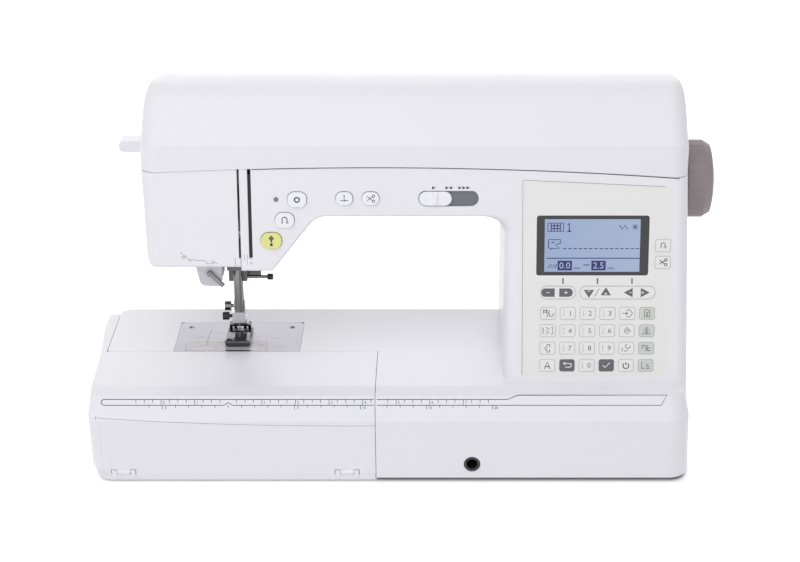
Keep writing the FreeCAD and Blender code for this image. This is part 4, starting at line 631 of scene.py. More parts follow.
# the keypad: outlines, caps, numerals and pictograms
keypad = {"firstX": 112.8, "firstZ": 129.5, "stepX": 15.0, "stepZ": 13.75, "wide": 11.8, "tall": 9.9,
          "corner": 1.9, "line": 0.22, "columns": 6, "rows": 4, "capInset": 0.5, "capSharper": 0.2,
          "capThick": 0.04, "aboveCap": 0.05, "darkKeys": ((3, 1), (3, 3)), "paleColumn": 5, "signSize": 1.12,
          "pen": 0.5, "boldPen": 0.75, "boldSigns": ("letterShape", "power"), "sideSignSize": 0.95,
          "sidePen": 0.6, "numberSize": 5.6, "numberShift": (1.9, -0.2)}
keyStitch = {"x": -3.0, "high": 2.6, "zigzagX": -3.6, "swing": 1.4, "drop": 0.9, "points": 7, "pen": 0.24,
             "zigzags": "345678"}
pictograms = {
    "turnBack": [([(-1.6, -2.2), (-1.6, 0.6)] + arc(0, 0.6, 1.6, 180, 0) + [(1.6, 0.6), (1.6, -1.2)], False),
                 ([(0.7, -1.0), (1.6, -2.2), (2.5, -1.0)], True)],
    "scissors": [([(-2.6, 2.0), (1.5, -1.5)], False), ([(-2.6, -1.6), (1.5, 1.5)], False),
                 ring(2.3, -2.0, 1.0), ring(2.3, 2.0, 1.0)],
    "enterDiamond": [([(-3.4, 0), (0.2, 0)], False), ([(-1.0, 1.0), (0.3, 0), (-1.0, -1.0)], False),
                     ([(-0.6, 1.9), (1.2, 2.8), (3.6, 0), (1.2, -2.8), (-0.6, -1.9)], False)],
    "diamond": [([(-2.0, 0), (0, 2.6), (2.6, 0), (0, -2.6)], True), (arc(0.2, 0, 0.9, -60, 240), False)],
    "sheetOfPaper": [([(-1.8, -2.6), (-1.8, 2.6), (0.6, 2.6), (1.9, 1.3), (1.9, -2.6)], True),
                     ([(-0.8, 0.6), (0.9, 0.6)], False), ([(-0.8, -0.7), (0.9, -0.7)], False),
                     ([(-0.8, -1.7), (0.9, -1.7)], False)],
    "mirrored": [([(-2.8, -2.3), (-0.8, -2.3), (-0.8, 2.3)], True),
                 ([(2.8, -2.3), (0.8, -2.3), (0.8, 2.3)], True), ([(0, -2.8), (0, 2.8)], False)],
    "zigzagRow": [([(-3.2, -2.4), (-3.2, 2.4)], False),
                  ([(-1.4, 2.4), (1.0, 1.2), (-1.4, 0), (1.0, -1.2), (-1.4, -2.4)], False),
                  ([(2.2, 2.4), (3.2, 2.4), (3.2, -2.4), (2.2, -2.4)], False)],
    "dotsAndFoot": [([(-3.4, 2.2), (0, 2.2)], False), ([(-3.4, 0.9), (0, 0.9)], False),
                    ([(-2.9, 2.8), (-2.9, -0.4)], False), ([(-0.9, 2.8), (-0.9, -0.4)], False),
                    ([(-0.8, -2.6), (1.2, 2.0)], False), (arc(2.2, -0.8, 1.4, 150, 400), False)],
    "flourish": [(arc(0.6, 1.6, 1.1, -60, 200), False), (arc(-0.6, -0.4, 1.1, 60, 300), False),
                 (arc(0.6, -2.0, 1.0, -200, 60), False)],
    "letterShape": [([(-1.9, -2.5), (0, 2.6), (1.9, -2.5)], False), ([(-1.2, -0.8), (1.2, -0.8)], False)],
    "goBack": [([(1.8, -1.3), (-1.2, -1.3)], False), (arc(1.8, 0, 1.3, -90, 90, 8), False),
               ([(1.8, 1.3), (-2.2, 1.3)], False), ([(-1.1, 2.3), (-2.4, 1.3), (-1.1, 0.3)], False)],
    "tick": [([(-2.4, 0.2), (-0.8, -1.6), (2.4, 1.9)], False)],
    "power": [(arc(0, -0.3, 2.0, 125, 415, 14), False), ([(0, 0.3), (0, 2.4)], False)],
    "turned": [(arc(0.9, 1.2, 1.5, 100, 380), False), ([(-2.8, -2.3), (-2.8, 0.2)], False),
               ([(-1.6, -1.6), (-0.4, -2.4), (1.2, -1.4)], False)],
    "loops": [(arc(-1.6, 0.8, 1.2, -30, 250), False), ([(-0.2, -2.2), (1.0, 2.2)], False),
              (arc(2.0, -0.9, 1.1, 40, 320), False)],
    "memory": [([(-2.6, 2.4), (-2.6, -2.2), (-0.8, -2.2)], False), ([(0.4, -2.2), (2.8, -2.2)], False),
               ([(0.4, -0.8), (2.8, -0.8)], False), ([(0.4, 0.6), (1.8, 0.6)], False)],
}
keySigns = {(0, 0): "dotsAndFoot", (0, 4): "enterDiamond", (0, 5): "sheetOfPaper", (1, 0): "zigzagRow",
            (1, 4): "diamond", (1, 5): "mirrored", (2, 0): "flourish", (2, 4): "turned", (2, 5): "loops",
            (3, 0): "letterShape", (3, 1): "goBack", (3, 3): "tick", (3, 4): "power", (3, 5): "memory"}
keyNumbers = {(0, 1): "1", (0, 2): "2", (0, 3): "3", (1, 1): "4", (1, 2): "5", (1, 3): "6", (2, 1): "7",
              (2, 2): "8", (2, 3): "9", (3, 2): "0"}
sideKeys = {"turnBack": (198.3, 182.4), "scissors": (198.5, 169.4)}
pillRow = {"z": 145.8, "tall": 10.2, "round": 0.46, "pills": {120.2: 26.8, 165.0: 57.0},  # middle and width
           "halves": {112.5: ("LB", "LT"), 126.1: ("RB", "RT")}, "half": (10.2, 6.6, 3.0), "halfSpot": 112.6,
           "arrows": {143.4: math.pi, 156.2: 0.0, 174.2: math.pi / 2, 184.8: -math.pi / 2},
           "arrowSize": 4.7, "arrowStretch": (0.95, 0.9), "arrowSpot": 150.0, "slashPen": 0.4, "signPen": 0.6}
pillSlash = [((147.8, -3.2), (151.2, 3.2))]  # x, and height over the row's middle
pillSigns = [((111.2, 0.0), (113.9, 0.0)), ((124.7, 0.0), (127.4, 0.0)), ((126.05, 1.3), (126.05, -1.3)),
             ((142.3, 1.1), (144.5, 1.1)), ((155.1, -0.9), (157.3, -0.9)), ((173.9, 0.0), (176.1, 0.0)),
             ((182.9, 0.0), (185.1, 0.0)), ((156.2, 0.2), (156.2, -2.0)), ((184.0, 1.1), (184.0, -1.1))]
screenTicks = {"xs": (123.7, 149.7, 175.7), "z": 154.8, "wide": 1.1, "tall": 4.4, "filmSpot": (100.0, 120.0)}


def keyOutline(x, y, lift):
    line = tile("keyLine", x, y, keypad["wide"], keypad["tall"], keypad["corner"], rim=keypad["line"])
    return raiseBy(line, lift)


def keyNumber(number, x, y, lift):  # the numeral with a small seam beside it
    dx, dy = keypad["numberShift"]
    high = keyStitch["high"]
    seam = [(x + keyStitch["x"], y + high), (x + keyStitch["x"], y - high)]
    if number in keyStitch["zigzags"]:
        seam = [(x + keyStitch["zigzagX"] + keyStitch["swing"] * (k % 2), y + high - keyStitch["drop"] * k)
                for k in range(keyStitch["points"])]
    return [raiseBy(numeral("keyNumber", number, x + dx, y + dy, keypad["numberSize"]), lift),
            raiseBy(strokes("keyStitch", [(seam, False)], keyStitch["pen"]), lift)]


def printKey(spot, groups):
    row, column = spot
    x, z = keypad["firstX"] + column * keypad["stepX"], keypad["firstZ"] - row * keypad["stepZ"]
    y, lift = uphill(z), liftAbove("panel_film", x, z)
    dark, pale = spot in keypad["darkKeys"], column == keypad["paleColumn"]
    groups["keyOutlines"].append(keyOutline(x, y, lift))
    if dark or pale:
        inset = keypad["capInset"]
        cap = tile("keyCap", x, y, keypad["wide"] - inset, keypad["tall"] - inset,
                   keypad["corner"] - keypad["capSharper"], keypad["capThick"])
        groups["darkKeyCaps" if dark else "paleKeyCaps"].append(raiseBy(cap, lift))
    sign = keySigns.get(spot)
    if sign:
        above = keypad["aboveCap"] if dark or pale else 0.0
        pen = keypad["boldPen"] if dark or sign in keypad["boldSigns"] else keypad["pen"]
        drawn = strokes("keySign", moved(pictograms[sign], x, y, keypad["signSize"]), pen)
        groups["lightKeySigns" if dark else "keySigns"].append(raiseBy(drawn, lift + above))
    if spot in keyNumbers:
        groups["keyNumbers"] += keyNumber(keyNumbers[spot], x, y, lift)


def printPillRow(groups):
    y, tall = uphill(pillRow["z"]), pillRow["tall"]
    for x, wide in pillRow["pills"].items():
        line = tile("pillLine", x, y, wide, tall, tall * pillRow["round"], rim=keypad["line"])
        groups["keyOutlines"].append(raiseBy(line, liftAbove("panel_film", x, pillRow["z"])))
    lift = liftAbove("panel_film", pillRow["halfSpot"], pillRow["z"])
    for x, corners in pillRow["halves"].items():
        half = tile("halfPill", x, y, *pillRow["half"], keypad["capThick"], corners=corners)
        groups["darkKeyCaps"].append(raiseBy(half, lift))
    lift = liftAbove("panel_film", pillRow["arrowSpot"], pillRow["z"])
    for x, turn in pillRow["arrows"].items():
        arrow = wedge("arrow", x, y, pillRow["arrowSize"], turn, *pillRow["arrowStretch"], keypad["capThick"])
        groups["darkKeyCaps"].append(raiseBy(arrow, lift))
    slash, marks = ([([(x, y + up) for x, up in line], False) for line in drawn]
                    for drawn in (pillSlash, pillSigns))
    groups["keySigns"].append(raiseBy(strokes("slash", slash, pillRow["slashPen"]), lift))
    light = strokes("signsOnDark", marks, pillRow["signPen"])
    groups["lightKeySigns"].append(raiseBy(light, lift + keypad["aboveCap"]))


def buildKeypad():
    looks = {"keyOutlines": ("lineInkAndGapShade", "key_grey"), "paleKeyCaps": ("keyPale", "key_grey"),
             "darkKeyCaps": ("keyDark", "bezel"), "keySigns": ("markInk", "black"),
             "keyNumbers": ("numberInk", "key_grey"), "lightKeySigns": ("paleInk", "panel_grey")}
    groups = {name: [] for name in looks}
    for row in range(keypad["rows"]):
        for column in range(keypad["columns"]):
            printKey((row, column), groups)
    for sign, (x, z) in sideKeys.items():
        y, lift = uphill(z), liftAbove("panel_film", x, z)
        groups["keyOutlines"].append(keyOutline(x, y, lift))
        drawn = strokes("keySign", moved(pictograms[sign], x, y, keypad["sideSignSize"]), keypad["sidePen"])
        groups["keySigns"].append(raiseBy(drawn, lift))
    printPillRow(groups)
    film = liftAbove("panel_film", *screenTicks["filmSpot"])
    for x in screenTicks["xs"]:
        tick = tile("screenTick", x, uphill(screenTicks["z"]), screenTicks["wide"], screenTicks["tall"], 0.0)
        groups["darkKeyCaps"].append(raiseBy(tick, film))
    for name, (finishName, slot) in looks.items():
        printOnFace(together(name, groups[name]), finishName)


buildKeypad()
print("keypad printed")

# what the display shows: plain numbers, a stitch line and rules
display = {"left": 109.4, "top": 202.6, "wide": 71.6, "tall": 40.9, "corner": 0.5, "rim": 1.0, "sheet": 0.05,
           "pen": 0.72, "rayPen": 0.4, "onePen": 1.0, "star": (67.6, 6.0), "ray": 2.4, "rays": 4,
           "units": {24.6: "mm", 50.2: "mm"}, "unitDown": 38.0, "unitSize": 3.4,
           "values": {15.4: "0.0", 40.8: "2.5"}, "valueDown": 36.2, "valueSize": 7.0, "valueLift": 0.05,
           "block": (10.8, 7.6), "blockDown": 36.0,
           "border": {"x": 145.55, "z": 182.25, "wide": 81.4, "tall": 43.6, "corner": 1.5}}
screenFigures = [  # to the right and down from the display's corner
    ([(1.8, 30.3), (72.4, 30.3)], False), ([(2.4, 3.0), (14.0, 3.0), (14.0, 9.4), (2.4, 9.4)], True),
    *[([(x, 3.4), (x, 9.0)], False) for x in (4.8, 7.0, 9.4, 11.6)],
    *[([(4.8, y), (11.6, y)], False) for y in (5.1, 7.3)],
    ([(3.0, 15.8), (11.8, 15.8), (11.8, 18.6), (8.4, 19.6), (11.4, 22.6), (5.6, 22.6), (5.0, 23.4),
      (3.0, 22.0)], True),
    ([(5.0, 18.0), (7.4, 18.0)], False),
    *[([(14.0 + k * 3.9, 22.8), (14.0 + k * 3.9 + 2.4, 22.8)], False) for k in range(15)],
    ([(2.6, 37.2), (3.6, 37.2), (4.8, 35.0), (6.0, 38.0), (7.2, 35.0), (8.4, 38.0), (9.4, 34.8)], False),
    ([(29.4, 35.6), (34.2, 35.6)], False), ([(56.0, 4.6), (58.0, 7.8), (60.0, 4.6), (62.0, 7.8)], False),
]
screenOne = [([(17.2, 4.4), (18.4, 3.2), (18.4, 9.4)], False), ([(17.0, 9.4), (19.8, 9.4)], False)]


def starRays():
    x, y = display["star"]
    rays = []
    for k in range(display["rays"]):
        turn = math.pi * k / display["rays"]
        dx, dy = display["ray"] * math.cos(turn), display["ray"] * math.sin(turn)
        rays.append(([(x - dx, y - dy), (x + dx, y + dy)], False))
    return rays


def buildDisplay():
    left, top = display["left"], uphill(display["top"])
    wide, tall, thick, border = display["wide"], display["tall"], display["sheet"], display["border"]
    lift = liftAbove("screen_frame", left + wide / 2, display["top"] + display["rim"])
    plate = tile("screenBorder", border["x"], uphill(border["z"]), border["wide"], border["tall"],
                 border["corner"], thick)
    printOnFace(plate, "bezelGrey", lift)
    lift += thick
    sheet = tile("screenSheet", left + wide / 2, top - tall / 2, wide, tall, display["corner"], thick)
    printOnFace(sheet, "screenBlue", lift)
    lift += thick
    ink = []
    for name, figures, pen in (("screenLines", screenFigures, "pen"), ("screenRays", starRays(), "rayPen"),
                               ("screenOne", screenOne, "onePen")):
        placed = [([(left + x, top - y) for x, y in points], closed) for points, closed in figures]
        ink.append(strokes(name, placed, display[pen]))
    for x, word in display["units"].items():
        ink.append(numeral("screenUnit", word, left + x, top - display["unitDown"], display["unitSize"]))
    pale = []
    for x, word in display["values"].items():
        ink.append(tile("screenBlock", left + x, top - display["blockDown"], *display["block"], 0.0))
        value = numeral("screenValue", word, left + x, top - display["valueDown"], display["valueSize"])
        pale.append(raiseBy(value, display["valueLift"]))
    printOnFace(together("screenGraphics", ink), "screenInk", lift)
    printOnFace(together("screenValues", pale), "screenPale", lift)


buildDisplay()
print("display drawn")

# pictograms on the buttons, each riding its own button, and the marks round the speed control
buttonSigns = {
    "reinforce": {"node": "reinforce_button", "at": (-75.5, 217.7), "pen": 1.0, "lines": [ring(0, 0, 1.8)]},
    "reverse": {"node": "reverse_button", "at": (-85.0, 202.0), "pen": 0.7,
                "lines": moved(pictograms["turnBack"], 0, 0, 1.15)},
    "needle_key": {"node": "needle_button", "at": (-40.3, 218.6), "pen": 0.5,
                   "lines": [([(0, 2.8), (0, -2.4)], False), ([(-3.0, -1.4), (3.0, -1.4)], False),
                             ([(-0.5, 2.6), (0.5, 2.6), (0, 1.4)], True)]},
    "cutter": {"node": "cutter_button", "at": (-20.7, 218.6), "pen": 0.52,
               "lines": moved(pictograms["scissors"], 0, 0, 0.95)},
    "start": {"node": "start_button", "at": (-95.3, 186.3), "pen": 1.1,
              "lines": [([(0, 3.6), (1.5, 1.9), (0, 0.2), (-1.5, 1.9)], True), ([(0, 2.6), (0, 1.2)], False),
                        ([(0, 0.2), (0, -1.4)], False), ring(0, -3.0, 0.6)]},
}
buttonInk = 0.08
speedMarks = {"xs": (26.0, 36.0, 39.2, 45.6, 48.6, 51.6), "z": 226.5, "size": 1.75, "stretch": (1.0, 0.8),
              "skinSpot": (0.0, 228.0)}
threadPath = {"pen": 0.4, "skinSpot": (-150.0, 172.0), "lines": [
    ([(-164.0, 177.0), (-161.5, 175.0), (-157.0, 170.6), (-156.2, 169.4)], False),
    ([(-157.4, 171.4), (-145.0, 170.4)], False),
    ([(-145.0, 170.4), (-144.2, 168.2), (-139.5, 168.2), (-138.6, 170.4)], False),
    (arc(-161.6, 173.0, 1.0, 0, 320), False), ([(-141.4, 170.6), (-136.6, 168.4)], False)]}


def buildButtonSigns():
    for body, sign in buttonSigns.items():
        x, z = sign["at"]
        drawn = strokes(body + "Sign", sign["lines"], sign["pen"], buttonInk)
        dress(setOnFace(drawn, x, z, liftAbove(sign["node"], x, z)), "markInk", body)
    z = uphill(speedMarks["z"])
    marks = [wedge("speedMark", x, z, speedMarks["size"], -math.pi / 2, *speedMarks["stretch"])
             for x in speedMarks["xs"]]
    lift = liftAbove("front_cover", *speedMarks["skinSpot"])
    printOnFace(together("speedMarks", marks), "markInk", lift)
    drawn = strokes("threadPathSign", alongFace(threadPath["lines"]), threadPath["pen"])
    printOnFace(drawn, "lineInkAndGapShade", liftAbove("face_cover", *threadPath["skinSpot"]))


buildButtonSigns()
print("button signs set")

# the rule printed along the front of the bed, in two lengths that part with the bed attachment
rule = {"zeroX": -129.2, "lowZ": 66.1, "highZ": 70.4, "stepZ": 73.6, "leftX": -227.0, "rightX": 202.5,
        "partX": -18.0, "gap": 1.2, "line": 0.58, "tickPen": 0.42, "inch": 25.4, "bandZ": (66.0, 71.0),
        "endRound": 4.0, "zeroMark": (3.2, 2.2), "stepX": (82.0, 90.0), "slant": 4.0, "lastInchX": 80.0,
        "quarters": (-11, 32), "centimetres": (-6, 21), "clear": (2.0, 1.0), "inchTicks": (0.4, 1.8),
        "cmTicks": (3.2, 1.8), "numberSize": 2.9, "inchShift": 2.0, "cmShift": (2.6, 2.0), "zeroSize": 2.6,
        "zeroDrop": 0.8}
beforeMachine = -150.0  # where rays toward the front start, in millimetres


def bandPlace(node, x):  # the sloping band's own frame, read off the solid
    starts = [Vector((x, beforeMachine, z)) * mm for z in rule["bandZ"]]
    hits = [nodes[node].ray_cast(start, Vector((0, 1, 0)))[1] for start in starts]
    up = (hits[1] - hits[0]).normalized()
    out = Vector((1, 0, 0)).cross(up)
    turn = Matrix((Vector((1, 0, 0)), up, out)).transposed().to_4x4()
    origin = Vector((0.0, hits[0].y, hits[0].z))
    return Matrix.Translation(origin) @ turn, up.z


def ruleScale(x0, x1, low, high):  # inches hang from the upper line, centimetres from the lower one
    ticks, words = [], []
    start, stop = x0 + rule["clear"][0], x1 - rule["clear"][1]
    for quarter in range(*rule["quarters"]):
        x = rule["zeroX"] + quarter * rule["inch"] / 4
        if start < x < min(stop, rule["lastInchX"]) and quarter != 0:
            whole = quarter % 4 == 0
            ticks.append(([(x, high), (x, low + rule["inchTicks"][0 if whole else 1])], False))
            if whole:
                words.append(numeral("ruleInch", str(abs(quarter) // 4), x + rule["inchShift"],
                                     (low + high) / 2, rule["numberSize"]))
    for centimetre in range(*rule["centimetres"]):
        x = rule["zeroX"] + centimetre * 10.0
        if start < x < stop and centimetre != 0:
            five = centimetre % 5 == 0
            ticks.append(([(x, low), (x, low - rule["cmTicks"][0 if five else 1])], False))
            if five:
                right, down = rule["cmShift"]
                words.append(numeral("ruleCm", str(abs(centimetre)), x + right, low - down,
                                     rule["numberSize"]))
    return ticks, words


def buildRule(name, node, body, x0, x1, onLeft):
    place, rise = bandPlace(node, (x0 + x1) / 2)
    low, high, step = [(rule[z] - rule["bandZ"][0]) / rise for z in ("lowZ", "highZ", "stepZ")]
    if onLeft:
        zero, end = rule["zeroX"], x0 + rule["endRound"]
        half, peak = rule["zeroMark"]
        outline = ([(x1, high), (end, high)] + arc(end, (low + high) / 2, (high - low) / 2, 90, 270, 8)
                   + [(zero - half, low), (zero, low + peak), (zero + half, low), (x1, low)])
    else:
        foot, head = rule["stepX"]
        outline = [(x0, high), (foot, high), (head, step), (x1, step), (x1 - rule["slant"], low), (x0, low)]
    pieces = [strokes("ruleLine", [(outline, False)], rule["line"])]
    ticks, words = ruleScale(x0, x1, low, high)
    if onLeft:
        words.append(numeral("ruleZero", "0", rule["zeroX"], low - rule["zeroDrop"], rule["zeroSize"]))
    pieces.append(strokes("ruleTick", ticks, rule["tickPen"]))
    piece = together(name, pieces + words)
    piece.matrix_world = place
    makeActive(piece)
    bpy.ops.object.transform_apply(location=True, rotation=True, scale=False)
    dress(piece, "markInk", body)


buildRule("ruleLeft", "bed_attachment", "bed", rule["leftX"], rule["partX"] - rule["gap"], True)
buildRule("ruleRight", "front_cover", "machine", rule["partX"] + rule["gap"], rule["rightX"], False)
print("rule printed")

# dark blocks behind the two thread slots, a painted shade for the dark inside of the head, clear of the lever
# that swings in the left one
paintedSlotShade = {"guide": ((-114.4, 168.0, -9.5), (-107.6, 236.0, -3.3)),
              "turn": ((-123.0, 166.0, -9.0), (-116.2, 185.5, -3.3)),
              "leftWall": ((-124.0, 168.0, -38.0), (-122.6, 235.0, -3.3)),
              "rightWall": ((-116.4, 168.0, -28.0), (-115.2, 235.0, -3.3))}
slotShadeSoft = 0.2


def buildSlotLining():
    walls = []
    for ends in paintedSlotShade.values():
        low, high = [(x, uphill(z), depth) for x, z, depth in ends]
        walls.append(block("slotShadeWall", low, high, slotShadeSoft))
    printOnFace(together("paintedSlotShade", walls), "blackPlasticAndSlotShade")


buildSlotLining()

# painted shade: the shadow line under the lid, thin dark rings in the gaps round the buttons and a line at
# the film's edge; and the marks at the slots
lidSeam = {"from": -108.8, "to": 209.0, "steps": 32, "pen": 0.6, "below": 0.75, "search": (248.0, 226.0)}
buttonGapShades = {"reinforce": (-75.5, 217.7, 14.2, 11.6), "reverse": (-85.0, 202.0, 14.2, 11.6),
              "start": (-95.3, 186.3, 15.4, 12.2), "needle": (-40.3, 218.6, 12.5, 9.8),
              "cutter": (-20.7, 218.6, 12.5, 9.8)}
gapShadePen = {"line": 0.3, "grow": 1.0, "round": 0.46}
filmEdgeShade = {"pen": 0.32, "stand": 0.5, "inset": 1.0, "cornerIn": 6.0, "search": (215.0, 245.0)}
slotMarks = {"pen": 0.3, "lines": [
    ([(-122.9, 172.8), (-122.9, 166.8)], False), ([(-115.9, 175.6), (-115.9, 170.6)], False),
    ([(-113.9, 175.2), (-113.9, 167.6)], False), ring(-110.9, 168.6, 0.8)]}


def edgeOf(node, x, inside, outside):  # height of a node's edge at x, between a height on it and one off it
    for step in range(14):
        middle = (inside + outside) / 2
        found = nodes[node].ray_cast(Vector((x, beforeMachine, middle)) * mm, Vector((0, 1, 0)))[0]
        inside, outside = (middle, outside) if found else (inside, middle)
    return inside


def buildFaceLines():
    span = lidSeam["to"] - lidSeam["from"]
    xs = [lidSeam["from"] + span * k / lidSeam["steps"] for k in range(lidSeam["steps"] + 1)]
    # a dark line just under the lid's edge: a painted shadow of the gap there
    line = [([(x, edgeOf("lid", x, *lidSeam["search"]) - lidSeam["below"]) for x in xs], False)]
    printOnFace(strokes("lidShadowLine", alongFace(line), lidSeam["pen"]), "paintedShadeAndEngraving")
    # thin grey rings round the buttons: painted shade in the gaps between button and cover
    gapShades, grow = [], gapShadePen["grow"]
    for x, z, wide, tall in buttonGapShades.values():
        corner = min(wide, tall) * gapShadePen["round"] + grow / 2
        gapShades.append(tile("buttonGapShade", x, uphill(z), wide + grow, tall + grow, corner, rim=gapShadePen["line"]))
    printOnFace(together("buttonGapShades", gapShades), "lineInkAndGapShade")
    # a grey line along the film's left and top edges: painted shade at its raised edge
    (left, low), (right, high) = [(corner[0] / mm, corner[2] / mm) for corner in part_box("panel_film")]
    corner, inset = right - filmEdgeShade["cornerIn"], filmEdgeShade["inset"]
    line = [([(left + inset, low + inset), (left, high),
              (corner, edgeOf("panel_film", corner, *filmEdgeShade["search"]))], False)]
    drawn = strokes("filmEdgeShadeLine", alongFace(line), filmEdgeShade["pen"], filmEdgeShade["stand"])
    printOnFace(drawn, "trackGreyAndEdgeShade")
    drawn = strokes("slotMarks", alongFace(slotMarks["lines"]), slotMarks["pen"])
    printOnFace(drawn, "lineInkAndGapShade")


buildFaceLines()
print("slots lined and rims drawn")

# the foot: a dark comb with steel slits behind a smoked toe
foot = {"x": -129.5, "half": 9.6, "toeFront": 0.4, "toeBack": 8.0, "toeLow": 1.0, "toeHigh": 5.6,
        "toeSoft": 0.9, "combIn": 0.6, "combBack": 19.5, "combLow": 2.0, "combHigh": 4.6, "combSoft": 0.5,
        "slits": 5, "slit": 1.1, "slitStep": 3.5, "slitFront": 1.6, "slitBack": 1.0, "slitDeep": 0.6,
        "slitProud": 0.06, "slitSoft": 0.02}


def buildFoot():
    low = Vector(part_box("presser_foot")[0]) / mm
    front, sole, middle = low.y, low.z, foot["x"]
    half, toeBack, combBack = foot["half"], front + foot["toeBack"], front + foot["combBack"]
    toe = block("footToe", (middle - half, front + foot["toeFront"], sole + foot["toeLow"]),
                (middle + half, toeBack, sole + foot["toeHigh"]), foot["toeSoft"])
    dress(toe, "smokeGloss", "foot")
    comb = block("footComb", (middle - half + foot["combIn"], toeBack, sole + foot["combLow"]),
                 (middle + half - foot["combIn"], combBack, sole + foot["combHigh"]), foot["combSoft"])
    dress(comb, "smokeGloss", "foot")
    slits = []
    for k in range(foot["slits"]):
        x = middle + (k - (foot["slits"] - 1) / 2) * foot["slitStep"]
        slits.append(block(
            "footSlit",
            (x - foot["slit"] / 2, toeBack + foot["slitFront"], sole + foot["combLow"] + foot["slitDeep"]),
            (x + foot["slit"] / 2, combBack - foot["slitBack"], sole + foot["combHigh"] + foot["slitProud"]),
            foot["slitSoft"]))
    dress(together("footSlits", slits), "barSteel", "foot")


buildFoot()

# the steel hook of the threader on its guard, and the dark tip of the thread guide
threaderHook = {"middle": (-144.6, 6.9, 132.6), "turn": 45.0, "bars": {
    "hookStrip": ((-7.5, -0.9, -1.6), (7.5, 0.9, 1.6), 0.5),
    "hookRoller": ((-8.7, -1.4, -2.2), (-4.9, 1.2, 2.2), 1.0),
    "hookEnd": ((4.5, -1.3, -1.9), (8.1, 0.9, 1.9), 0.8)}}
guideTip = {"radius": 2.5, "long": 4.6, "back": 1.6, "soft": 0.5, "sides": 24}


def buildHook():
    piece = together("threaderHook", [block(name, *bar) for name, bar in threaderHook["bars"].items()])
    piece.rotation_euler = (0.0, math.radians(threaderHook["turn"]), 0.0)
    piece.location = Vector(threaderHook["middle"]) * mm
    makeActive(piece)
    bpy.ops.object.transform_apply(location=True, rotation=True, scale=False)
    dress(piece, "barSteel", "machine")


def buildGuideTip():
    low, high = [Vector(corner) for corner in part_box("thread_guide")]
    middle = (high.x - guideTip["back"] * mm, (low.y + high.y) / 2, (low.z + high.z) / 2)
    clearSelection()
    bpy.ops.mesh.primitive_cylinder_add(vertices=guideTip["sides"], radius=guideTip["radius"] * mm,
                                        depth=guideTip["long"] * mm, location=middle,
                                        rotation=(0, math.pi / 2, 0))
    tip = bpy.context.object
    tip.name = "guideTip"
    bpy.ops.object.transform_apply(location=True, rotation=True, scale=False)
    bpy.ops.object.mode_set(mode="EDIT")
    bpy.ops.mesh.select_all(action="SELECT")
    bpy.ops.mesh.bevel(offset=guideTip["soft"] * mm, segments=2, affect="EDGES")
    bpy.ops.object.mode_set(mode="OBJECT")
    dress(tip, "blackPlasticAndSlotShade", "machine")


buildHook()
buildGuideTip()
print("foot, hook and guide tip set")

# lines engraved on the needle plate, in millimetres from the needle
plateMarks = {"pen": 0.28, "thick": 0.03, "needle": (-129.5, 23.0)}


def buildPlateMarks():
    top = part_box("needle_plate")[1][2]
    nx, ny = plateMarks["needle"]
    lines = [([(-42.0, -28.0), (-39.0, -24.0), (-34.0, -20.5), (-28.0, -18.6), (-23.0, -18.2)], False),
             ([(-42.0, -28.0), (-24.0, -28.6)], False),
             ([(-19.4, -18.6), (-17.2, -20.6), (-16.6, -23.6), (-17.6, -26.4), (-22.0, -27.6)], False),
             ([(-24.0, 12.0), (-24.4, 2.0), (-25.0, -8.0), (-24.6, -18.0)], False),
             ([(-35.0, -4.6), (-32.6, -3.4), (-31.0, -1.2), (-29.6, -3.2), (-27.4, -3.8)], False),
             ([(-21.0, 4.0), (-19.0, 6.0), (-17.0, 4.4), (-15.0, 6.4)], False),
             ([(-16.8, -12.4), (-14.4, -12.4)], False), ([(-12.8, -7.6), (-10.4, -7.6)], False),
             ([(13.4, -2.0), (17.0, -2.0)], False), ([(13.4, -8.0), (16.6, -8.0)], False),
             ([(25.0, -4.0), (27.0, -4.0), (28.6, -5.4)], False), ([(29.0, -3.4), (31.2, -4.8)], False),
             ([(27.4, -21.0), (31.4, -21.0)], False), ([(33.4, -19.4), (36.6, -21.0), (33.4, -22.6)], True),
             ([(45.0, -13.0), (47.4, -14.2)], False)]
    lines = [([(nx + x, ny + y) for x, y in points], closed) for points, closed in lines]
    piece = strokes("plateMarks", lines, plateMarks["pen"], plateMarks["thick"])
    piece.location = (0.0, 0.0, top)
    makeActive(piece)
    bpy.ops.object.transform_apply(location=True, rotation=False, scale=False)
    dress(piece, "paintedShadeAndEngraving", "machine")


buildPlateMarks()
print("plate engraved")

# thin skins over the seams of the flap: along its foot and corner on the bed, and over its own left end
skins = {
    "bedFootSkin": {"body": "bed", "x": (-223.3, -18.8), "z": (1.9, 6.4), "columns": 1, "rows": 1},
    "bedCornerSkin": {"body": "bed", "x": (-231.4, -223.3), "z": (1.9, 6.4), "columns": 5, "rows": 1},
    "flapEndSkin": {"body": "flap", "x": (-231.9, -227.9), "z": (7.0, 54.6), "columns": 1, "rows": 18},
}
skinLift = {"gap": 0.08, "thick": 0.2, "startY": -120.0}


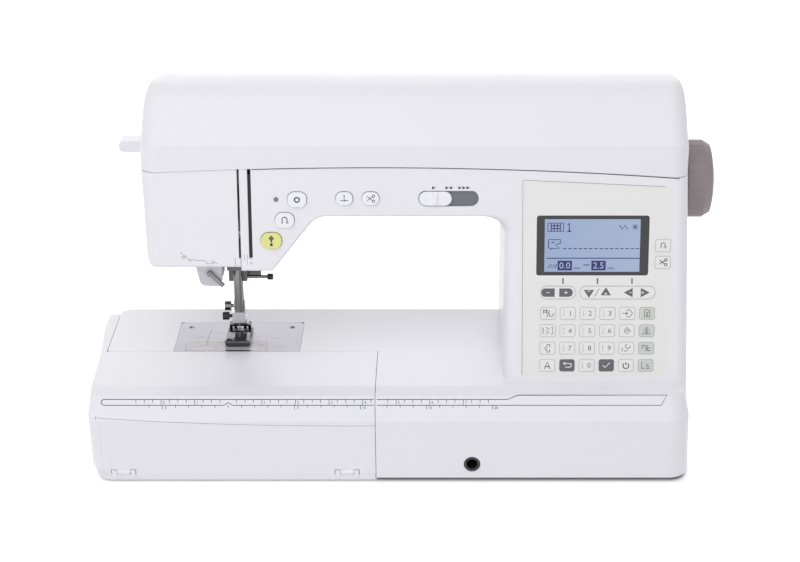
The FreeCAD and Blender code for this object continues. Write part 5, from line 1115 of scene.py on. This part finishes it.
def buildSkin(name, skin):
    clearSelection()
    (x0, x1), (z0, z1) = skin["x"], skin["z"]
    middle = Vector(((x0 + x1) / 2, skinLift["startY"], (z0 + z1) / 2)) * mm
    bpy.ops.mesh.primitive_grid_add(x_subdivisions=skin["columns"], y_subdivisions=skin["rows"], size=1.0,
                                    location=middle, rotation=(math.pi / 2, 0, 0))
    piece = bpy.context.object
    piece.name = name
    piece.scale = ((x1 - x0) * mm, (z1 - z0) * mm, 1.0)
    bpy.ops.object.transform_apply(location=True, rotation=True, scale=True)
    lay = piece.modifiers.new("lay", "SHRINKWRAP")
    lay.wrap_method = "PROJECT"
    lay.use_project_y = True
    lay.target = nodes["tray_flap"]
    lay.auxiliary_target = nodes["bed_attachment"]
    bpy.ops.object.modifier_apply(modifier="lay")
    piece.data.transform(Matrix.Translation((0, -(skinLift["gap"] + skinLift["thick"]) * mm, 0)))
    wall = piece.modifiers.new("wall", "SOLIDIFY")
    wall.thickness = skinLift["thick"] * mm
    bpy.ops.object.modifier_apply(modifier="wall")
    dress(piece, "shellWhite", skin["body"])


for skinName, skinPlan in skins.items():
    buildSkin(skinName, skinPlan)
print("flap skins laid")

# the speed control: a round-ended knob in a round-ended opening
speedControl = {"openX": (14.7, 60.0), "openZ": (212.3, 224.7), "edge": 0.3, "inside": 0.15, "lip": 0.15,
                "back": -1.0, "edgeSoft": 0.05, "holeHalf": 3.0, "round": 0.48, "skinSpot": (5.0, 218.5),
                "knobX": (15.4, 39.8), "knobZ": (213.0, 223.6), "knobBack": -1.4, "knobFront": 1.0,
                "knobSoft": 0.4, "ridge": 3.0, "ridgeHalf": 1.3, "ridgeIn": 0.7, "ridgeSoft": 0.6}


def pillTile(name, xs, zs, grow, low, high):
    x0, x1, y0, y1 = xs[0] - grow, xs[1] + grow, uphill(zs[0]) - grow, uphill(zs[1]) + grow
    piece = tile(name, (x0 + x1) / 2, (y0 + y1) / 2, x1 - x0, y1 - y0, (y1 - y0) * speedControl["round"],
                 high - low)
    return raiseBy(piece, low)


def buildSpeedControl():
    plan = speedControl
    skin = liftAbove("front_cover", *plan["skinSpot"])
    (x0, x1), edge, deep = plan["openX"], plan["edge"], plan["holeHalf"]
    y0, y1 = [uphill(z) for z in plan["openZ"]]
    surround = block("speedSurround", (x0 - edge, y0 - edge, plan["back"]),
                     (x1 + edge, y1 + edge, plan["lip"]), plan["edgeSoft"])
    hole = pillTile("speedHole", plan["openX"], plan["openZ"], -plan["inside"], -deep, deep)
    cut = surround.modifiers.new("hole", "BOOLEAN")
    cut.operation = "DIFFERENCE"
    cut.object = hole
    makeActive(surround)
    bpy.ops.object.modifier_apply(modifier="hole")
    bpy.data.objects.remove(hole)
    printOnFace(surround, "shellWhite", skin)
    knob = pillTile("speedKnobPill", plan["knobX"], plan["knobZ"], 0.0, plan["knobBack"], plan["knobFront"])
    makeActive(knob)
    soften = knob.modifiers.new("soften", "BEVEL")
    soften.width = plan["knobSoft"] * mm
    soften.segments = 2
    bpy.ops.object.modifier_apply(modifier="soften")
    middle, half = sum(plan["knobX"]) / 2, plan["ridgeHalf"]
    y0, y1 = [uphill(z) for z in plan["knobZ"]]
    ridge = block("speedRidge", (middle - half, y0 + plan["ridgeIn"], 0.0),
                  (middle + half, y1 - plan["ridgeIn"], plan["ridge"]), plan["ridgeSoft"])
    knob = together("speedKnobPill", [knob, ridge])
    printOnFace(knob, "buttonWhite", skin, "speed")
    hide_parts("speed_knob")


buildSpeedControl()
print("speed control set")
